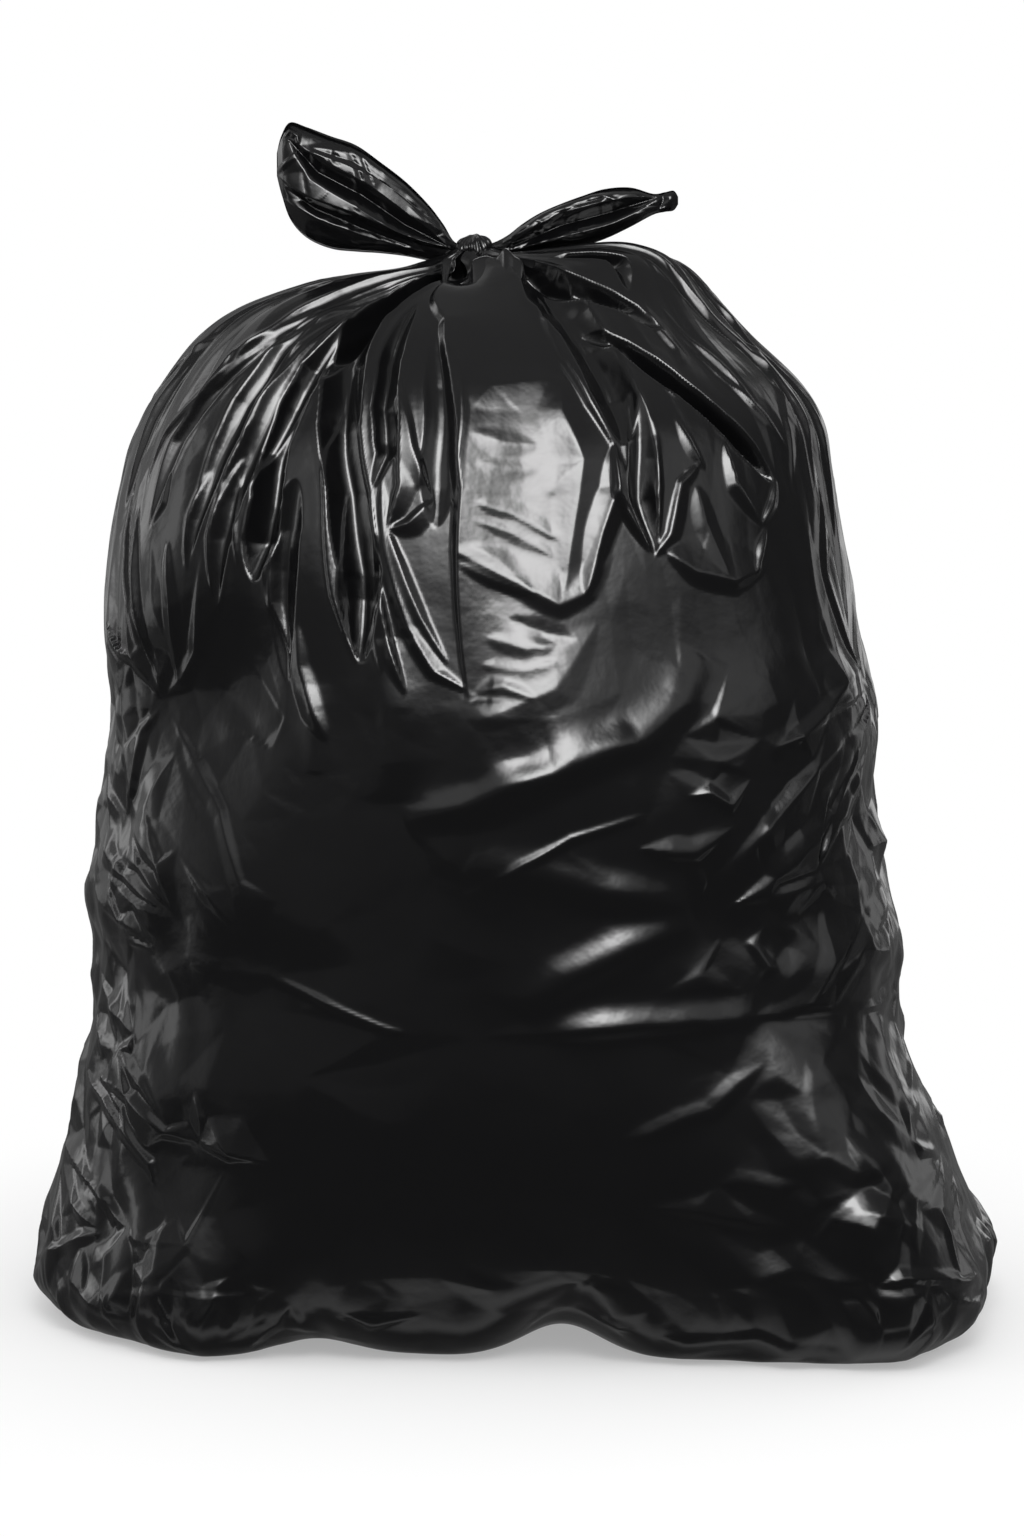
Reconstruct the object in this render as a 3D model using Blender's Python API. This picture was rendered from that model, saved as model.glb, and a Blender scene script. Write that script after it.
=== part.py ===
"""A full bin bag, tied at the mouth: black polythene film round a heap of rubbish, standing on the floor.

The bag is one piece of film, so it is one closed solid. Its body is a loft of plan sections, drawn in to a
neck, with the gathers that the knot pulls into it. The two top corners of the bag are knotted together and
stick out as two ears, left and right. Lengths are in metres, the front of the bag faces -Y.
"""

import math

import bmesh
import bpy
import mathutils
import numpy as np

MM = 0.001
COLUMNS = 288
ROWS = 180
BODY_FACES = 8400

# Plan sections of the film, from the floor to the neck, in mm:
# height, left side x, right side x, front y, back y, squareness (2 is an ellipse).
SECTIONS = [
    (0, -297, 288, -158, 152, 2.7),
    (6, -314, 306, -177, 172, 2.7),
    (22, -325, 321, -193, 190, 2.6),
    (45, -322, 323, -199, 197, 2.5),
    (68, -316, 310, -203, 200, 2.45),
    (95, -308, 298, -205, 202, 2.4),
    (135, -299, 283, -206, 203, 2.3),
    (176, -290, 264, -206, 203, 2.25),
    (217, -282, 256, -204, 201, 2.2),
    (250, -281, 259, -203, 200, 2.2),
    (285, -286, 251, -200, 198, 2.2),
    (335, -278, 242, -197, 196, 2.2),
    (400, -273, 241, -192, 193, 2.15),
    (460, -277, 230, -185, 189, 2.1),
    (515, -273, 221, -174, 182, 2.1),
    (565, -263, 214, -159, 173, 2.05),
    (597, -252, 207, -146, 163, 2.0),
    (624, -236, 189, -129, 149, 2.0),
    (651, -214, 160, -105, 129, 2.0),
    (672, -186, 136, -81, 107, 2.0),
    (688, -142, 113, -59, 83, 2.0),
    (694, -112, 84, -50, 69, 2.0),
    (698, -80, 52, -43, 50, 2.0),
    (702, -64, 22, -36, 32, 2.0),
    (705, -54, -4, -30, 20, 2.0),
    (708, -45, -14, -25, 10, 2.0),
    (711, -38, -18, -19, 2, 2.0),
]

# Places where the contents or the corners of the bag push or pull the film: centre (x, y, z), reach, and how
# far it moves (dx, dy, dz), in mm. Powers after them say how a pull falls off along x, y and z: 2 is soft, 1
# is from a ridge, 3 or more from a flat middle.
PULLS = [
    ((243, -145, 0), (66, 52, 260), (3, -70, 0), (1.3, 2, 2)),
    ((258, -150, 60), (45, 40, 45), (5, 0, 0)),
    ((-222, -120, 0), (46, 46, 50), (16, -10, 0)),
    ((-200, -140, 0), (36, 46, 60), (0, -26, 0), (1.3, 2, 3)),
    ((-235, 130, 0), (50, 50, 60), (-6, 42, 0)),
    ((232, 132, 0), (50, 50, 60), (8, 46, 0)),
    ((30, -172, 0), (24, 60, 24), (0, 32, 13)),
    ((-128, -175, 0), (24, 60, 18), (0, 16, 7)),
    ((20, 176, 0), (60, 60, 22), (0, -28, 10)),
    ((75, 70, 700), (60, 60, 40), (4, 6, 15)),
    ((70, -20, 700), (38, 30, 30), (6, 0, 15)),
    ((-38, -46, 698), (9, 13, 9), (2, 14, -7)),
    ((12, -180, 400), (42, 60, 70), (0, -12, 0)),
    ((10, -205, 150), (120, 60, 90), (0, -12, 0)),
    ((60, -190, 330), (95, 60, 60), (0, -10, 0)),
    ((-190, -140, 420), (40, 50, 50), (10, 14, 0)),
    ((170, -150, 255), (45, 50, 40), (-6, 12, 0)),
    ((-60, 205, 210), (120, 60, 100), (0, 12, 0)),
    ((90, 195, 400), (90, 60, 80), (0, 10, 0)),
    ((-150, 150, 480), (60, 60, 60), (-4, -14, 0)),
]

# Gathers: grooves that the knot draws into the film. Each has its line from the neck down, as
# (bearing in degrees, height in mm), its half width, its depth and the length of its tapered tip, in mm.
# Bearing 270 is the front.
GATHERS = [
    # Left of the front panel.
    ([(232, 690), (226, 655), (218, 620), (213, 585), (211, 529)], 10, 6, 70),
    ([(236, 684), (231, 650), (227, 610), (225, 560), (222, 501)], 9, 6, 80),
    ([(239, 684), (235, 640), (233, 600), (230, 550), (228, 478)], 10, 8, 80),
    ([(247, 692), (246, 670), (239, 639), (237, 614), (236, 581), (237, 548), (236, 495)], 11, 17, 26),
    ([(242, 560), (241, 520), (241, 480), (241, 433)], 11, 8, 70),
    ([(247, 692), (245, 668), (245, 639), (247, 595), (251, 554), (254, 504), (254, 446)], 11, 15, 40),
    ([(256, 672), (254, 635), (254, 607), (256, 577), (255, 555)], 5, 7, 30),
    ([(263, 650), (264, 600), (265, 530)], 8, 5, 26),
    # Right of it.
    ([(283, 692), (290, 670), (293, 650), (293, 615), (293, 582)], 13, 15, 34),
    ([(288, 697), (302, 697), (308, 690), (308, 676)], 8, 11, 18),
    ([(285, 690), (295, 680), (306, 668), (312, 654)], 9, 13, 22),
    ([(294, 660), (300, 648), (306, 622), (314, 593), (322, 558)], 9, 17, 22),
    ([(297, 618), (296, 580), (295, 550), (296, 511)], 8, 8, 34),
    # Round the sides and the back.
    ([(322, 697), (336, 650), (337, 600), (335, 550)], 10, 3.5, 60),
    ([(345, 700), (346, 640), (344, 520)], 13, 5, 90),
    ([(362, 700), (360, 600), (362, 480)], 15, 9, 90),
    ([(380, 700), (379, 600), (382, 540)], 13, 8, 70),
    ([(396, 700), (398, 600), (396, 470)], 16, 12, 90),
    ([(412, 700), (414, 600), (415, 520)], 13, 10, 70),
    ([(430, 700), (431, 600), (428, 430)], 17, 15, 90),
    ([(444, 700), (443, 600), (444, 540)], 13, 10, 60),
    ([(460, 700), (461, 600), (464, 490)], 16, 13, 90),
    ([(476, 700), (478, 600), (477, 440)], 17, 14, 90),
    ([(494, 700), (495, 600), (493, 540)], 13, 10, 60),
    ([(510, 700), (512, 600), (513, 480)], 16, 11, 90),
    ([(528, 700), (529, 600), (531, 550)], 13, 8, 60),
    ([(544, 700), (546, 600), (547, 460)], 14, 6, 90),
    ([(560, 700), (559, 600), (558, 540)], 11, 4, 70),
]

# Folds: lines where the film turns over the contents, as (bearing, height in mm), how far the film stands
# out on the line (or sinks in), and how wide its slope is on each side of the line, left and right of
# somebody who walks along it, in mm.
FOLDS = [
    # Left of the front panel.
    ([(230, 685), (224, 656), (217, 639), (214, 616), (208, 589), (206, 558)], 4, 7, 11),
    ([(205, 540), (207, 500), (211, 440)], 3, 9, 8),
    ([(199, 560), (203, 500), (213, 425)], -3, 11, 8),
    ([(224, 565), (222, 535), (222, 501)], 3, 9, 6),
    ([(230, 575), (227, 523), (228, 478)], 3.5, 9, 6),
    ([(244, 468), (244, 442), (246, 414), (248, 396)], 5, 5, 11),
    ([(246, 610), (246, 581), (248, 544), (250, 487), (253, 446)], 3.5, 8, 5),
    # The long pleat, the flap beside it and the ridges under the flap.
    ([(254, 692), (264, 660), (266, 601), (268, 552), (268, 495), (268, 426)], 7, 34, 5),
    ([(256, 623), (259, 556), (258, 529)], 4, 10, 5),
    ([(256, 560), (258, 514), (261, 467), (264, 440), (268, 429)], 4, 9, 6),
    ([(257, 496), (258, 463), (260, 427)], 5, 5, 8),
    # The right gathers and the hem of the drape beside them.
    ([(280, 688), (285, 665), (286, 633), (288, 607), (291, 581)], 4, 22, 5),
    ([(291, 583), (291, 550), (293, 533), (296, 512)], 5, 9, 5),
    ([(291, 581), (291, 554), (288, 525), (285, 487)], 5, 8, 10),
    ([(298, 616), (298, 554), (297, 523)], 3.5, 5, 12),
    ([(298, 514), (303, 501), (310, 495), (317, 503)], 4, 34, 9),
    ([(312, 584), (313, 556), (318, 531)], 4, 5, 8),
    ([(323, 560), (318, 531)], 3, 8, 5),
    ([(353, 684), (350, 663), (340, 639), (330, 600), (328, 560)], 2.5, 14, 6),
    ([(339, 560), (336, 500), (342, 430)], 3, 12, 8),
    # The front panel's lower hem and the belly's long hollow.
    ([(267, 516), (273, 501), (279, 487), (281, 482), (285, 489), (289, 510)], 3.5, 26, 5),
    ([(284, 626), (283, 603), (286, 571), (284, 533), (282, 493)], 3, 16, 13),
    ([(267, 424), (270, 413), (274, 421), (279, 431), (282, 446), (286, 468)], 3, 30, 6),
    ([(223, 250), (240, 247), (258, 216), (278, 216), (305, 220), (347, 218)], 3, 50, 26),
    ([(261, 348), (269, 358), (274, 365), (280, 378), (288, 393)], 4.5, 26, 14),
    ([(288, 393), (290, 408), (295, 423), (297, 436)], 3, 12, 10),
    ([(232, 450), (240, 410), (250, 372), (262, 348)], 3, 40, 20),
    ([(261, 343), (266, 324), (269, 307)], 2, 26, 8),
    ([(272, 309), (280, 309), (288, 305), (294, 301)], 3, 16, 14),
    ([(281, 262), (283, 261), (287, 269), (292, 277), (297, 286)], 4, 14, 6),
    ([(277, 218), (288, 221), (304, 222)], 4, 14, 6),
    ([(258, 440), (258, 404), (259, 356)], 2.5, 12, 16),
    # Right of the belly.
    ([(300, 290), (305, 297), (312, 309), (322, 331), (326, 361)], 4, 24, 6),
    ([(288, 331), (294, 326), (298, 325), (305, 343)], 3, 13, 5),
    ([(296, 361), (300, 363), (304, 354), (308, 373)], 2.5, 9, 5),
    ([(294, 386), (301, 384), (307, 384), (311, 399)], 2.5, 12, 5),
    ([(312, 389), (318, 395), (326, 410), (349, 429)], 2.5, 10, 5),
    ([(295, 250), (300, 246), (304, 240), (310, 262)], 3.5, 16, 5),
    ([(308, 220), (317, 228), (321, 250), (332, 280)], 3, 16, 5),
    ([(351, 429), (338, 395), (326, 346), (322, 314)], 3, 14, 7),
    ([(350, 294), (329, 258), (322, 224)], 4, 14, 7),
    # Left of the belly.
    ([(213, 416), (207, 446), (198, 467)], 4, 7, 10),
    ([(213, 416), (217, 446), (223, 484)], 3, 9, 6),
    ([(216, 418), (229, 404), (249, 369)], 2, 24, 24),
    ([(213, 416), (205, 404), (206, 369)], 3, 9, 10),
    ([(204, 337), (197, 354), (188, 368)], 3, 7, 9),
    ([(223, 277), (220, 301), (208, 333)], 3, 7, 7),
    ([(199, 297), (213, 284), (220, 273)], 3, 9, 6),
    ([(197, 260), (208, 263), (217, 260)], 3, 10, 6),
    # The left front corner.
    ([(192, 241), (203, 224), (212, 203)], 3.5, 7, 12),
    ([(196, 173), (212, 163), (221, 150), (232, 138)], 3.5, 9, 7),
    ([(197, 171), (210, 156), (218, 134), (225, 106)], 3.5, 7, 8),
    ([(230, 150), (236, 140), (243, 131)], 4, 14, 6),
    ([(190, 110), (200, 96), (205, 81), (216, 73)], 3, 8, 7),
    # The right front corner.
    ([(283, 148), (288, 154), (294, 161)], 3.5, 12, 8),
    ([(293, 121), (297, 117), (302, 108), (306, 121)], 3.5, 14, 5),
    ([(302, 94), (308, 106), (317, 117), (329, 134)], 4, 16, 6),
    ([(351, 192), (333, 142), (331, 131)], 4, 12, 7),
    ([(331, 131), (346, 117), (335, 108), (324, 85)], 3, 9, 8),
    ([(322, 83), (334, 90), (350, 86)], 3, 9, 6),
    ([(320, 63), (329, 73), (348, 70)], 3, 9, 6),
    # The back.
    ([(70, 420), (84, 330), (110, 280)], 6, 40, 14),
    ([(120, 440), (112, 340), (92, 250)], -6, 40, 14),
    ([(30, 260), (52, 210), (80, 180)], 6, 40, 14),
    ([(150, 300), (130, 230), (104, 190)], -6, 36, 14),
    ([(60, 120), (90, 96), (122, 110)], 5, 30, 12),
]

# Where something hard inside holds the film in or pushes it out: bearing, height, depth, reach, in mm.
STARS = [
    (215, 418, -9, 60), (352, 434, -9, 55), (206, 338, -6, 40), (224, 279, -5, 40), (298, 290, -8, 50),
    (352, 294, -8, 50), (228, 120, -7, 44), (215, 77, -6, 34), (301, 90, -7, 48), (328, 134, -7, 44),
    (239, 252, -5, 50), (40, 380, -12, 60), (65, 150, 10, 60), (95, 330, -11, 60), (128, 180, -11, 55),
    (150, 400, 9, 55), (172, 250, -9, 50), (20, 240, 9, 50), (108, 90, -9, 45), (170, 90, 9, 45),
]

# The ears: sections across each, from the knot out to the tip, in mm:
# x, lowest z, highest z, y of the middle, thickness.
LEFT_EAR = [
    (-27, 705, 714, -5, 10), (-40, 702, 716, -5, 13), (-48, 702, 728, -5, 16), (-58, 704, 741, -5, 20),
    (-73, 707, 756, -5, 25), (-90, 709, 769, -6, 30), (-106, 710, 780, -7, 33), (-123, 712, 786, -7, 34),
    (-139, 719, 792, -7, 30), (-150, 731, 795, -6, 22), (-156, 748, 786, -5, 13), (-159, 760, 775, -4, 6),
]
RIGHT_EAR = [
    (-28, 705, 713, -3, 10), (-15, 707, 716, -2, 11), (-5, 708, 721, -2, 13), (4, 709, 728, -1, 17),
    (15, 710, 735, 0, 20), (28, 712, 741, 2, 24), (44, 714, 747, 4, 27), (60, 719, 752, 6, 27),
    (77, 727, 753, 7, 24), (92, 735, 749, 8, 17), (100, 737, 750, 8, 14), (106, 738, 751, 8, 11),
    (109, 742, 747, 8, 5),
]
PLEATS_ROUND_EAR = 7
KNOT_MIDDLE, KNOT_RADII = (-27, -7, 711), (12.5, 16, 10)


def spline(rows, at):
    """The rows of numbers joined by a smooth curve, read at fractional row numbers."""
    rows = np.asarray(rows, float)
    last = len(rows) - 1
    low = np.clip(np.floor(at).astype(int), 0, last - 1)
    share = (at - low)[:, None]
    before, start = rows[np.clip(low - 1, 0, last)], rows[low]
    end, after = rows[low + 1], rows[np.clip(low + 2, 0, last)]
    return 0.5 * (
        2 * start
        + (end - before) * share
        + (2 * before - 5 * start + 4 * end - after) * share**2
        + (3 * start - before - 3 * end + after) * share**3
    )


def sections_by_film_length(count):
    """Plan sections at equal steps along the film, from the edge of the underside to the neck."""
    fine = spline(SECTIONS, np.linspace(0, len(SECTIONS) - 1, 1200))
    steps = np.diff(fine[:, :5], axis=0)
    step = np.mean([np.hypot(steps[:, 0], steps[:, side]) for side in (1, 2, 3, 4)], axis=0)
    length = np.concatenate([[0], np.cumsum(step)])
    at = np.linspace(0, length[-1], count)
    return np.stack([np.interp(at, length, fine[:, i]) for i in range(6)], axis=1)


def smooth_body(columns, rows):
    """Grid of points, in mm, of the film before it is gathered, with its bearings and its sections."""
    sections = sections_by_film_length(rows)
    bearing = np.arange(columns) * math.tau / columns
    height, left, right, front, back, square = (sections[:, i][:, None] for i in range(6))
    across, along = np.cos(bearing)[None], np.sin(bearing)[None]
    x = (left + right) / 2 + (right - left) / 2 * np.sign(across) * np.abs(across) ** (2 / square)
    y = (front + back) / 2 + (back - front) / 2 * np.sign(along) * np.abs(along) ** (2 / square)
    grid = np.stack([x, y, np.broadcast_to(height, x.shape)], axis=-1)
    for centre, reach, move, *powers in PULLS:
        far = np.abs((grid - centre) / reach) ** (powers[0] if powers else 2)
        grid = grid + np.exp(-far.sum(axis=-1, keepdims=True) / 2) * np.array(move, float)
    grid[..., 2] = np.maximum(grid[..., 2], 0)
    grid[0, :, 2] = 0
    return grid, np.degrees(bearing), sections


def normals(grid):
    """Unit vectors out of a grid that is closed along its columns."""
    along = np.roll(grid, -1, axis=1) - np.roll(grid, 1, axis=1)
    out = np.cross(along, np.gradient(grid, axis=0))
    return out / np.maximum(np.linalg.norm(out, axis=-1, keepdims=True), 1e-9)


def bearing_gap(one, other):
    return (one - other + 180) % 360 - 180


def gathers(bearing, height, radius):
    """How far the gathers move the film out of its smooth form, in mm."""
    moved = np.zeros(radius.shape)
    for line, half_width, depth, tip in GATHERS:
        bearings, heights = np.array(line, float).T
        centre = np.interp(height, heights[::-1], bearings[::-1])
        aside = np.radians(np.abs(bearing_gap(bearing, centre))) * radius
        ends = np.clip((height - heights[-1]) / tip, 0, 1)
        ends = ends * np.clip((heights[0] - height) / 30 + (heights[0] > 680), 0, 1)
        width = half_width * np.clip(radius / 110, 0.12, 1) * np.maximum(ends, 1e-3) ** 0.7
        full = np.clip(radius / 90, 0.08, 1) * ends**0.8
        moved -= depth * full * (1 - np.minimum(aside / width, 1) ** 1.6)
    return moved


def fold_height(x, z, line, left_width, right_width):
    """A fold along a line of points, 1 high on its crest. Its ends are points."""
    nearest = np.full(x.shape, 1e9)
    signed, reached = np.zeros(x.shape), np.zeros(x.shape)
    for i, ((x0, z0), (x1, z1)) in enumerate(zip(line, line[1:])):
        px, pz, dx, dz = x - x0, z - z0, x1 - x0, z1 - z0
        share = np.clip((px * dx + pz * dz) / (dx**2 + dz**2), 0, 1)
        far = np.hypot(px - share * dx, pz - share * dz)
        closer = far < nearest
        nearest = np.where(closer, far, nearest)
        signed = np.where(closer, np.sign(dx * pz - dz * px), signed)
        reached = np.where(closer, (i + share) / (len(line) - 1), reached)
    taper = np.sin(math.pi * np.clip(reached, 0.01, 0.99)) ** 0.6
    width = np.where(signed > 0, left_width, right_width) * taper
    return taper * np.clip(1 - nearest / width, 0, None) ** np.interp(width, (12, 30), (1.15, 2))


def folds(bearing, height, radius):
    """How far the folds move the film, in mm."""
    moved = np.zeros(radius.shape)
    scale = np.radians(1) * radius
    for line, stand_out, left_width, right_width in FOLDS:
        middle = np.mean([b for b, h in line])
        points = [((b - middle) * scale, h) for b, h in line]
        x, z = bearing_gap(bearing, middle) * scale, np.broadcast_to(height, radius.shape)
        moved += stand_out * fold_height(x, z, points, left_width, right_width)
    return moved


def stars(bearing, height, radius):
    """How far the held points move the film, as shallow cones, in mm."""
    moved = np.zeros(radius.shape)
    for at, level, depth, reach in STARS:
        far = np.hypot(np.radians(bearing_gap(bearing, at)) * radius, height - level)
        moved += depth * np.clip(1 - far / reach, 0, None) ** 1.5
    return moved

def film_grid(columns, rows):
    """The body of the bag as a grid of points in metres."""
    grid, bearing, sections = smooth_body(columns, rows)
    middle = np.stack([sections[:, 1] + sections[:, 2], sections[:, 3] + sections[:, 4]], axis=1) / 2
    radius = np.linalg.norm(grid[..., :2] - middle[:, None], axis=-1)
    form = bearing[None], sections[:, :1], radius
    on_floor = np.clip(sections[:, :1] / 25, 0, 1)
    moved = (gathers(*form) + folds(*form) + stars(*form)) * on_floor
    grid = grid + normals(grid) * moved[..., None]
    grid[..., 2] = np.maximum(grid[..., 2], 0)
    return grid * MM


def closed_tube(name, grid):
    """A mesh object from rings of points, closed by a face at each end. The first ring is the lower one."""
    rows, columns = grid.shape[:2]
    mesh = bpy.data.meshes.new(name)
    bm = bmesh.new()
    rings = [[bm.verts.new(point) for point in ring] for ring in grid]
    for lower, upper in zip(rings, rings[1:]):
        for i in range(columns):
            following = (i + 1) % columns
            bm.faces.new((lower[i], lower[following], upper[following], upper[i]))
    bm.faces.new(rings[0][::-1])
    bm.faces.new(rings[-1])
    bmesh.ops.recalc_face_normals(bm, faces=bm.faces)
    bm.to_mesh(mesh)
    bm.free()
    part = bpy.data.objects.new(name, mesh)
    bpy.context.scene.collection.objects.link(part)
    return part


def ear_grid(sections, columns=36, rows=14):
    """The rolled and pleated film of one ear as rings of points in metres, from the knot to the tip."""
    x, low, high, y, thick = np.hsplit(spline(sections, np.linspace(0, len(sections) - 1, rows)), 5)
    turn = np.arange(columns) * math.tau / columns
    pleat = 1 + 0.16 * np.cos(PLEATS_ROUND_EAR * turn)[None] * np.clip(thick / 24, 0.3, 1)
    across = thick / 2 * pleat * np.sin(turn)[None] * (0.45 + 0.55 * np.cos(turn / 2 + 0.4)[None] ** 2)
    up = (low + high) / 2 + (high - low) / 2 * np.cos(turn)[None]
    return np.stack([np.broadcast_to(x, up.shape), y + across, up], axis=-1) * MM


def knot():
    """The small hard knot, creased from top to bottom."""
    bpy.ops.mesh.primitive_uv_sphere_add(segments=20, ring_count=10, radius=1)
    ball = bpy.context.object
    for vertex in ball.data.vertices:
        turn = math.atan2(vertex.co.y, vertex.co.x)
        crease = 1 - 0.08 * math.cos(5 * turn + 2 * vertex.co.z)
        vertex.co = [MM * (m + r * c * crease) for m, r, c in zip(KNOT_MIDDLE, KNOT_RADII, vertex.co)]
    return ball


def film_material():
    """Blown low-density polythene film, black."""
    film = bpy.data.materials.new("black_polythene_film")
    film.use_nodes = True
    surface = film.node_tree.nodes["Principled BSDF"]
    surface.inputs["Base Color"].default_value = (0.006, 0.006, 0.0065, 1)
    surface.inputs["Roughness"].default_value = 0.2
    return film


def main():
    for found in list(bpy.data.objects):
        bpy.data.objects.remove(found)
    film = film_grid(COLUMNS, ROWS)
    middle = (film.min(axis=(0, 1)) + film.max(axis=(0, 1))) / 2 * (1, 1, 0)
    body = closed_tube("bin_bag", film - middle)
    body.data.materials.append(film_material())
    fewer = body.modifiers.new("fewer_faces", "DECIMATE")
    fewer.ratio = BODY_FACES / (2 * COLUMNS * ROWS)
    ears = closed_tube("left_ear", ear_grid(LEFT_EAR)), closed_tube("right_ear", ear_grid(RIGHT_EAR))
    for piece in (knot(), *ears):
        piece.location -= mathutils.Vector(middle)
        piece.hide_render = True
        piece.display_type = "WIRE"
        join = body.modifiers.new("join_" + piece.name, "BOOLEAN")
        join.operation = "UNION"
        join.solver = "EXACT"
        join.object = piece


main()
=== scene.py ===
import math

import bpy
import mathutils
import numpy as np
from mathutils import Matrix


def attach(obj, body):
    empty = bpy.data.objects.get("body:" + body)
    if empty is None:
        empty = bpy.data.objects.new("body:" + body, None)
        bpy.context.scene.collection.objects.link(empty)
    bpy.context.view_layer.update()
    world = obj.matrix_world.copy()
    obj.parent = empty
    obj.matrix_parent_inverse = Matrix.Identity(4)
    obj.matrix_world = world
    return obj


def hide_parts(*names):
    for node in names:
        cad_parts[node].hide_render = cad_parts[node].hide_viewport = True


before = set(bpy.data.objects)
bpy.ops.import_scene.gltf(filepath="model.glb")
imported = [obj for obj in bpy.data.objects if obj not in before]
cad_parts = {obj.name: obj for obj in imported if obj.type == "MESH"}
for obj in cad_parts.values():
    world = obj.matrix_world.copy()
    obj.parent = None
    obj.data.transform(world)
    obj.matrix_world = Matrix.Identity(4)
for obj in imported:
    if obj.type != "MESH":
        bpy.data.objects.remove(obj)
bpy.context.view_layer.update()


# ------------------------------------------------------------------------------
# The sack's body. One tube of blown low-density polythene film, 0.03 mm thick, sealed flat across the bottom
# and filled with rubbish. It stands on its own base, its two front corners spread on the floor, and the knot
# pulls the top into gathers. All lengths in this section are in mm, and the front faces -Y (bearing 270).
# ------------------------------------------------------------------------------
MM = 0.001
AROUND, ALONG, LEVELS = 80, 50, 3  # coarsest net of film that settles, and how many nets, each twice as fine
FINE_AROUND, FINE_ALONG = 900, 560  # the finished net
CLOSER_AT_FRONT = 0.3  # its columns are this share closer together at the front, and wider apart behind
UNDERSIDE_START = 0.02  # the underside's innermost ring, as a share of its outline
UNDERSIDE_SHARE, UNDERSIDE_ROWS = 0.16, 0.06  # shares of the film's length and of the net's rows under the sack
STEPS = [160, 160, 120]  # steps of settling on each net
SEED_WAVES = [3, 1.5, 0.6]  # the unevenness that each net starts with, in mm
BEND = [0.15, 0.2, 0.35]  # how firmly each net stays unbent
DAMP = 0.9  # share of its move that the film keeps up in the next step
SMOOTHINGS = 4  # passes that smooth the settled moves
GOAL, GOAL_AT_GATHERS, SWELL = 0.003, 0.03, 4e-6  # pull to the designed form, and push of the contents

# Plan sections: height, left side x, right side x, front y, back y, squareness (2 is an ellipse).
SECTIONS = [
    (0, -297, 288, -158, 152, 2.7),
    (6, -314, 306, -177, 172, 2.7),
    (22, -325, 321, -193, 190, 2.6),
    (45, -322, 323, -199, 197, 2.5),
    (68, -316, 310, -203, 200, 2.45),
    (95, -308, 298, -205, 202, 2.4),
    (135, -299, 283, -206, 203, 2.3),
    (176, -290, 264, -206, 203, 2.25),
    (217, -282, 256, -204, 201, 2.2),
    (250, -281, 259, -203, 200, 2.2),
    (285, -286, 251, -200, 198, 2.2),
    (335, -278, 242, -197, 196, 2.2),
    (400, -273, 241, -192, 193, 2.15),
    (460, -277, 230, -185, 189, 2.1),
    (515, -273, 221, -174, 182, 2.1),
    (565, -263, 214, -159, 173, 2.05),
    (597, -252, 207, -146, 163, 2.0),
    (624, -236, 189, -129, 149, 2.0),
    (651, -214, 160, -105, 129, 2.0),
    (672, -186, 136, -81, 107, 2.0),
    (688, -142, 113, -59, 83, 2.0),
    (694, -112, 84, -50, 69, 2.0),
    (698, -80, 52, -43, 50, 2.0),
    (702, -64, 22, -36, 32, 2.0),
    (705, -54, -4, -30, 20, 2.0),
    (708, -45, -14, -25, 10, 2.0),
    (711, -38, -18, -19, 2, 2.0),
]

# Where the contents or the sack's corners push or pull the film: centre, reach, and the move (x, y, z). The
# powers after them are 2 for a soft pull, 1 for one with a ridge, and 4 for one with a flat middle.
PULLS = [
    ((243, -145, 0), (66, 52, 260), (3, -70, 0), (1.3, 2, 2)),
    ((258, -150, 60), (45, 40, 45), (5, 0, 0)),
    ((-222, -120, 0), (46, 46, 50), (16, -10, 0)),
    ((-200, -140, 0), (36, 46, 60), (0, -26, 0), (1.3, 2, 3)),
    ((-235, 130, 0), (50, 50, 60), (-6, 42, 0)),
    ((232, 132, 0), (50, 50, 60), (8, 46, 0)),
    ((30, -172, 0), (24, 60, 24), (0, 32, 13)),
    ((-128, -175, 0), (24, 60, 18), (0, 16, 7)),
    ((20, 176, 0), (60, 60, 22), (0, -28, 10)),
    ((75, 70, 700), (60, 60, 40), (4, 6, 15)),
    ((70, -20, 700), (38, 30, 30), (6, 0, 15)),
    ((-38, -46, 698), (9, 13, 9), (2, 14, -7)),
    ((12, -180, 400), (42, 60, 70), (0, -12, 0)),
    ((10, -205, 150), (120, 60, 90), (0, -12, 0)),
    ((60, -190, 330), (95, 60, 60), (0, -10, 0)),
    ((-190, -140, 420), (40, 50, 50), (10, 14, 0)),
    ((170, -150, 255), (45, 50, 40), (-6, 12, 0)),
    ((-60, 205, 210), (120, 60, 100), (0, 12, 0)),
    ((90, 195, 400), (90, 60, 80), (0, 10, 0)),
    ((-150, 150, 480), (60, 60, 60), (-4, -14, 0)),
]

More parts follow.
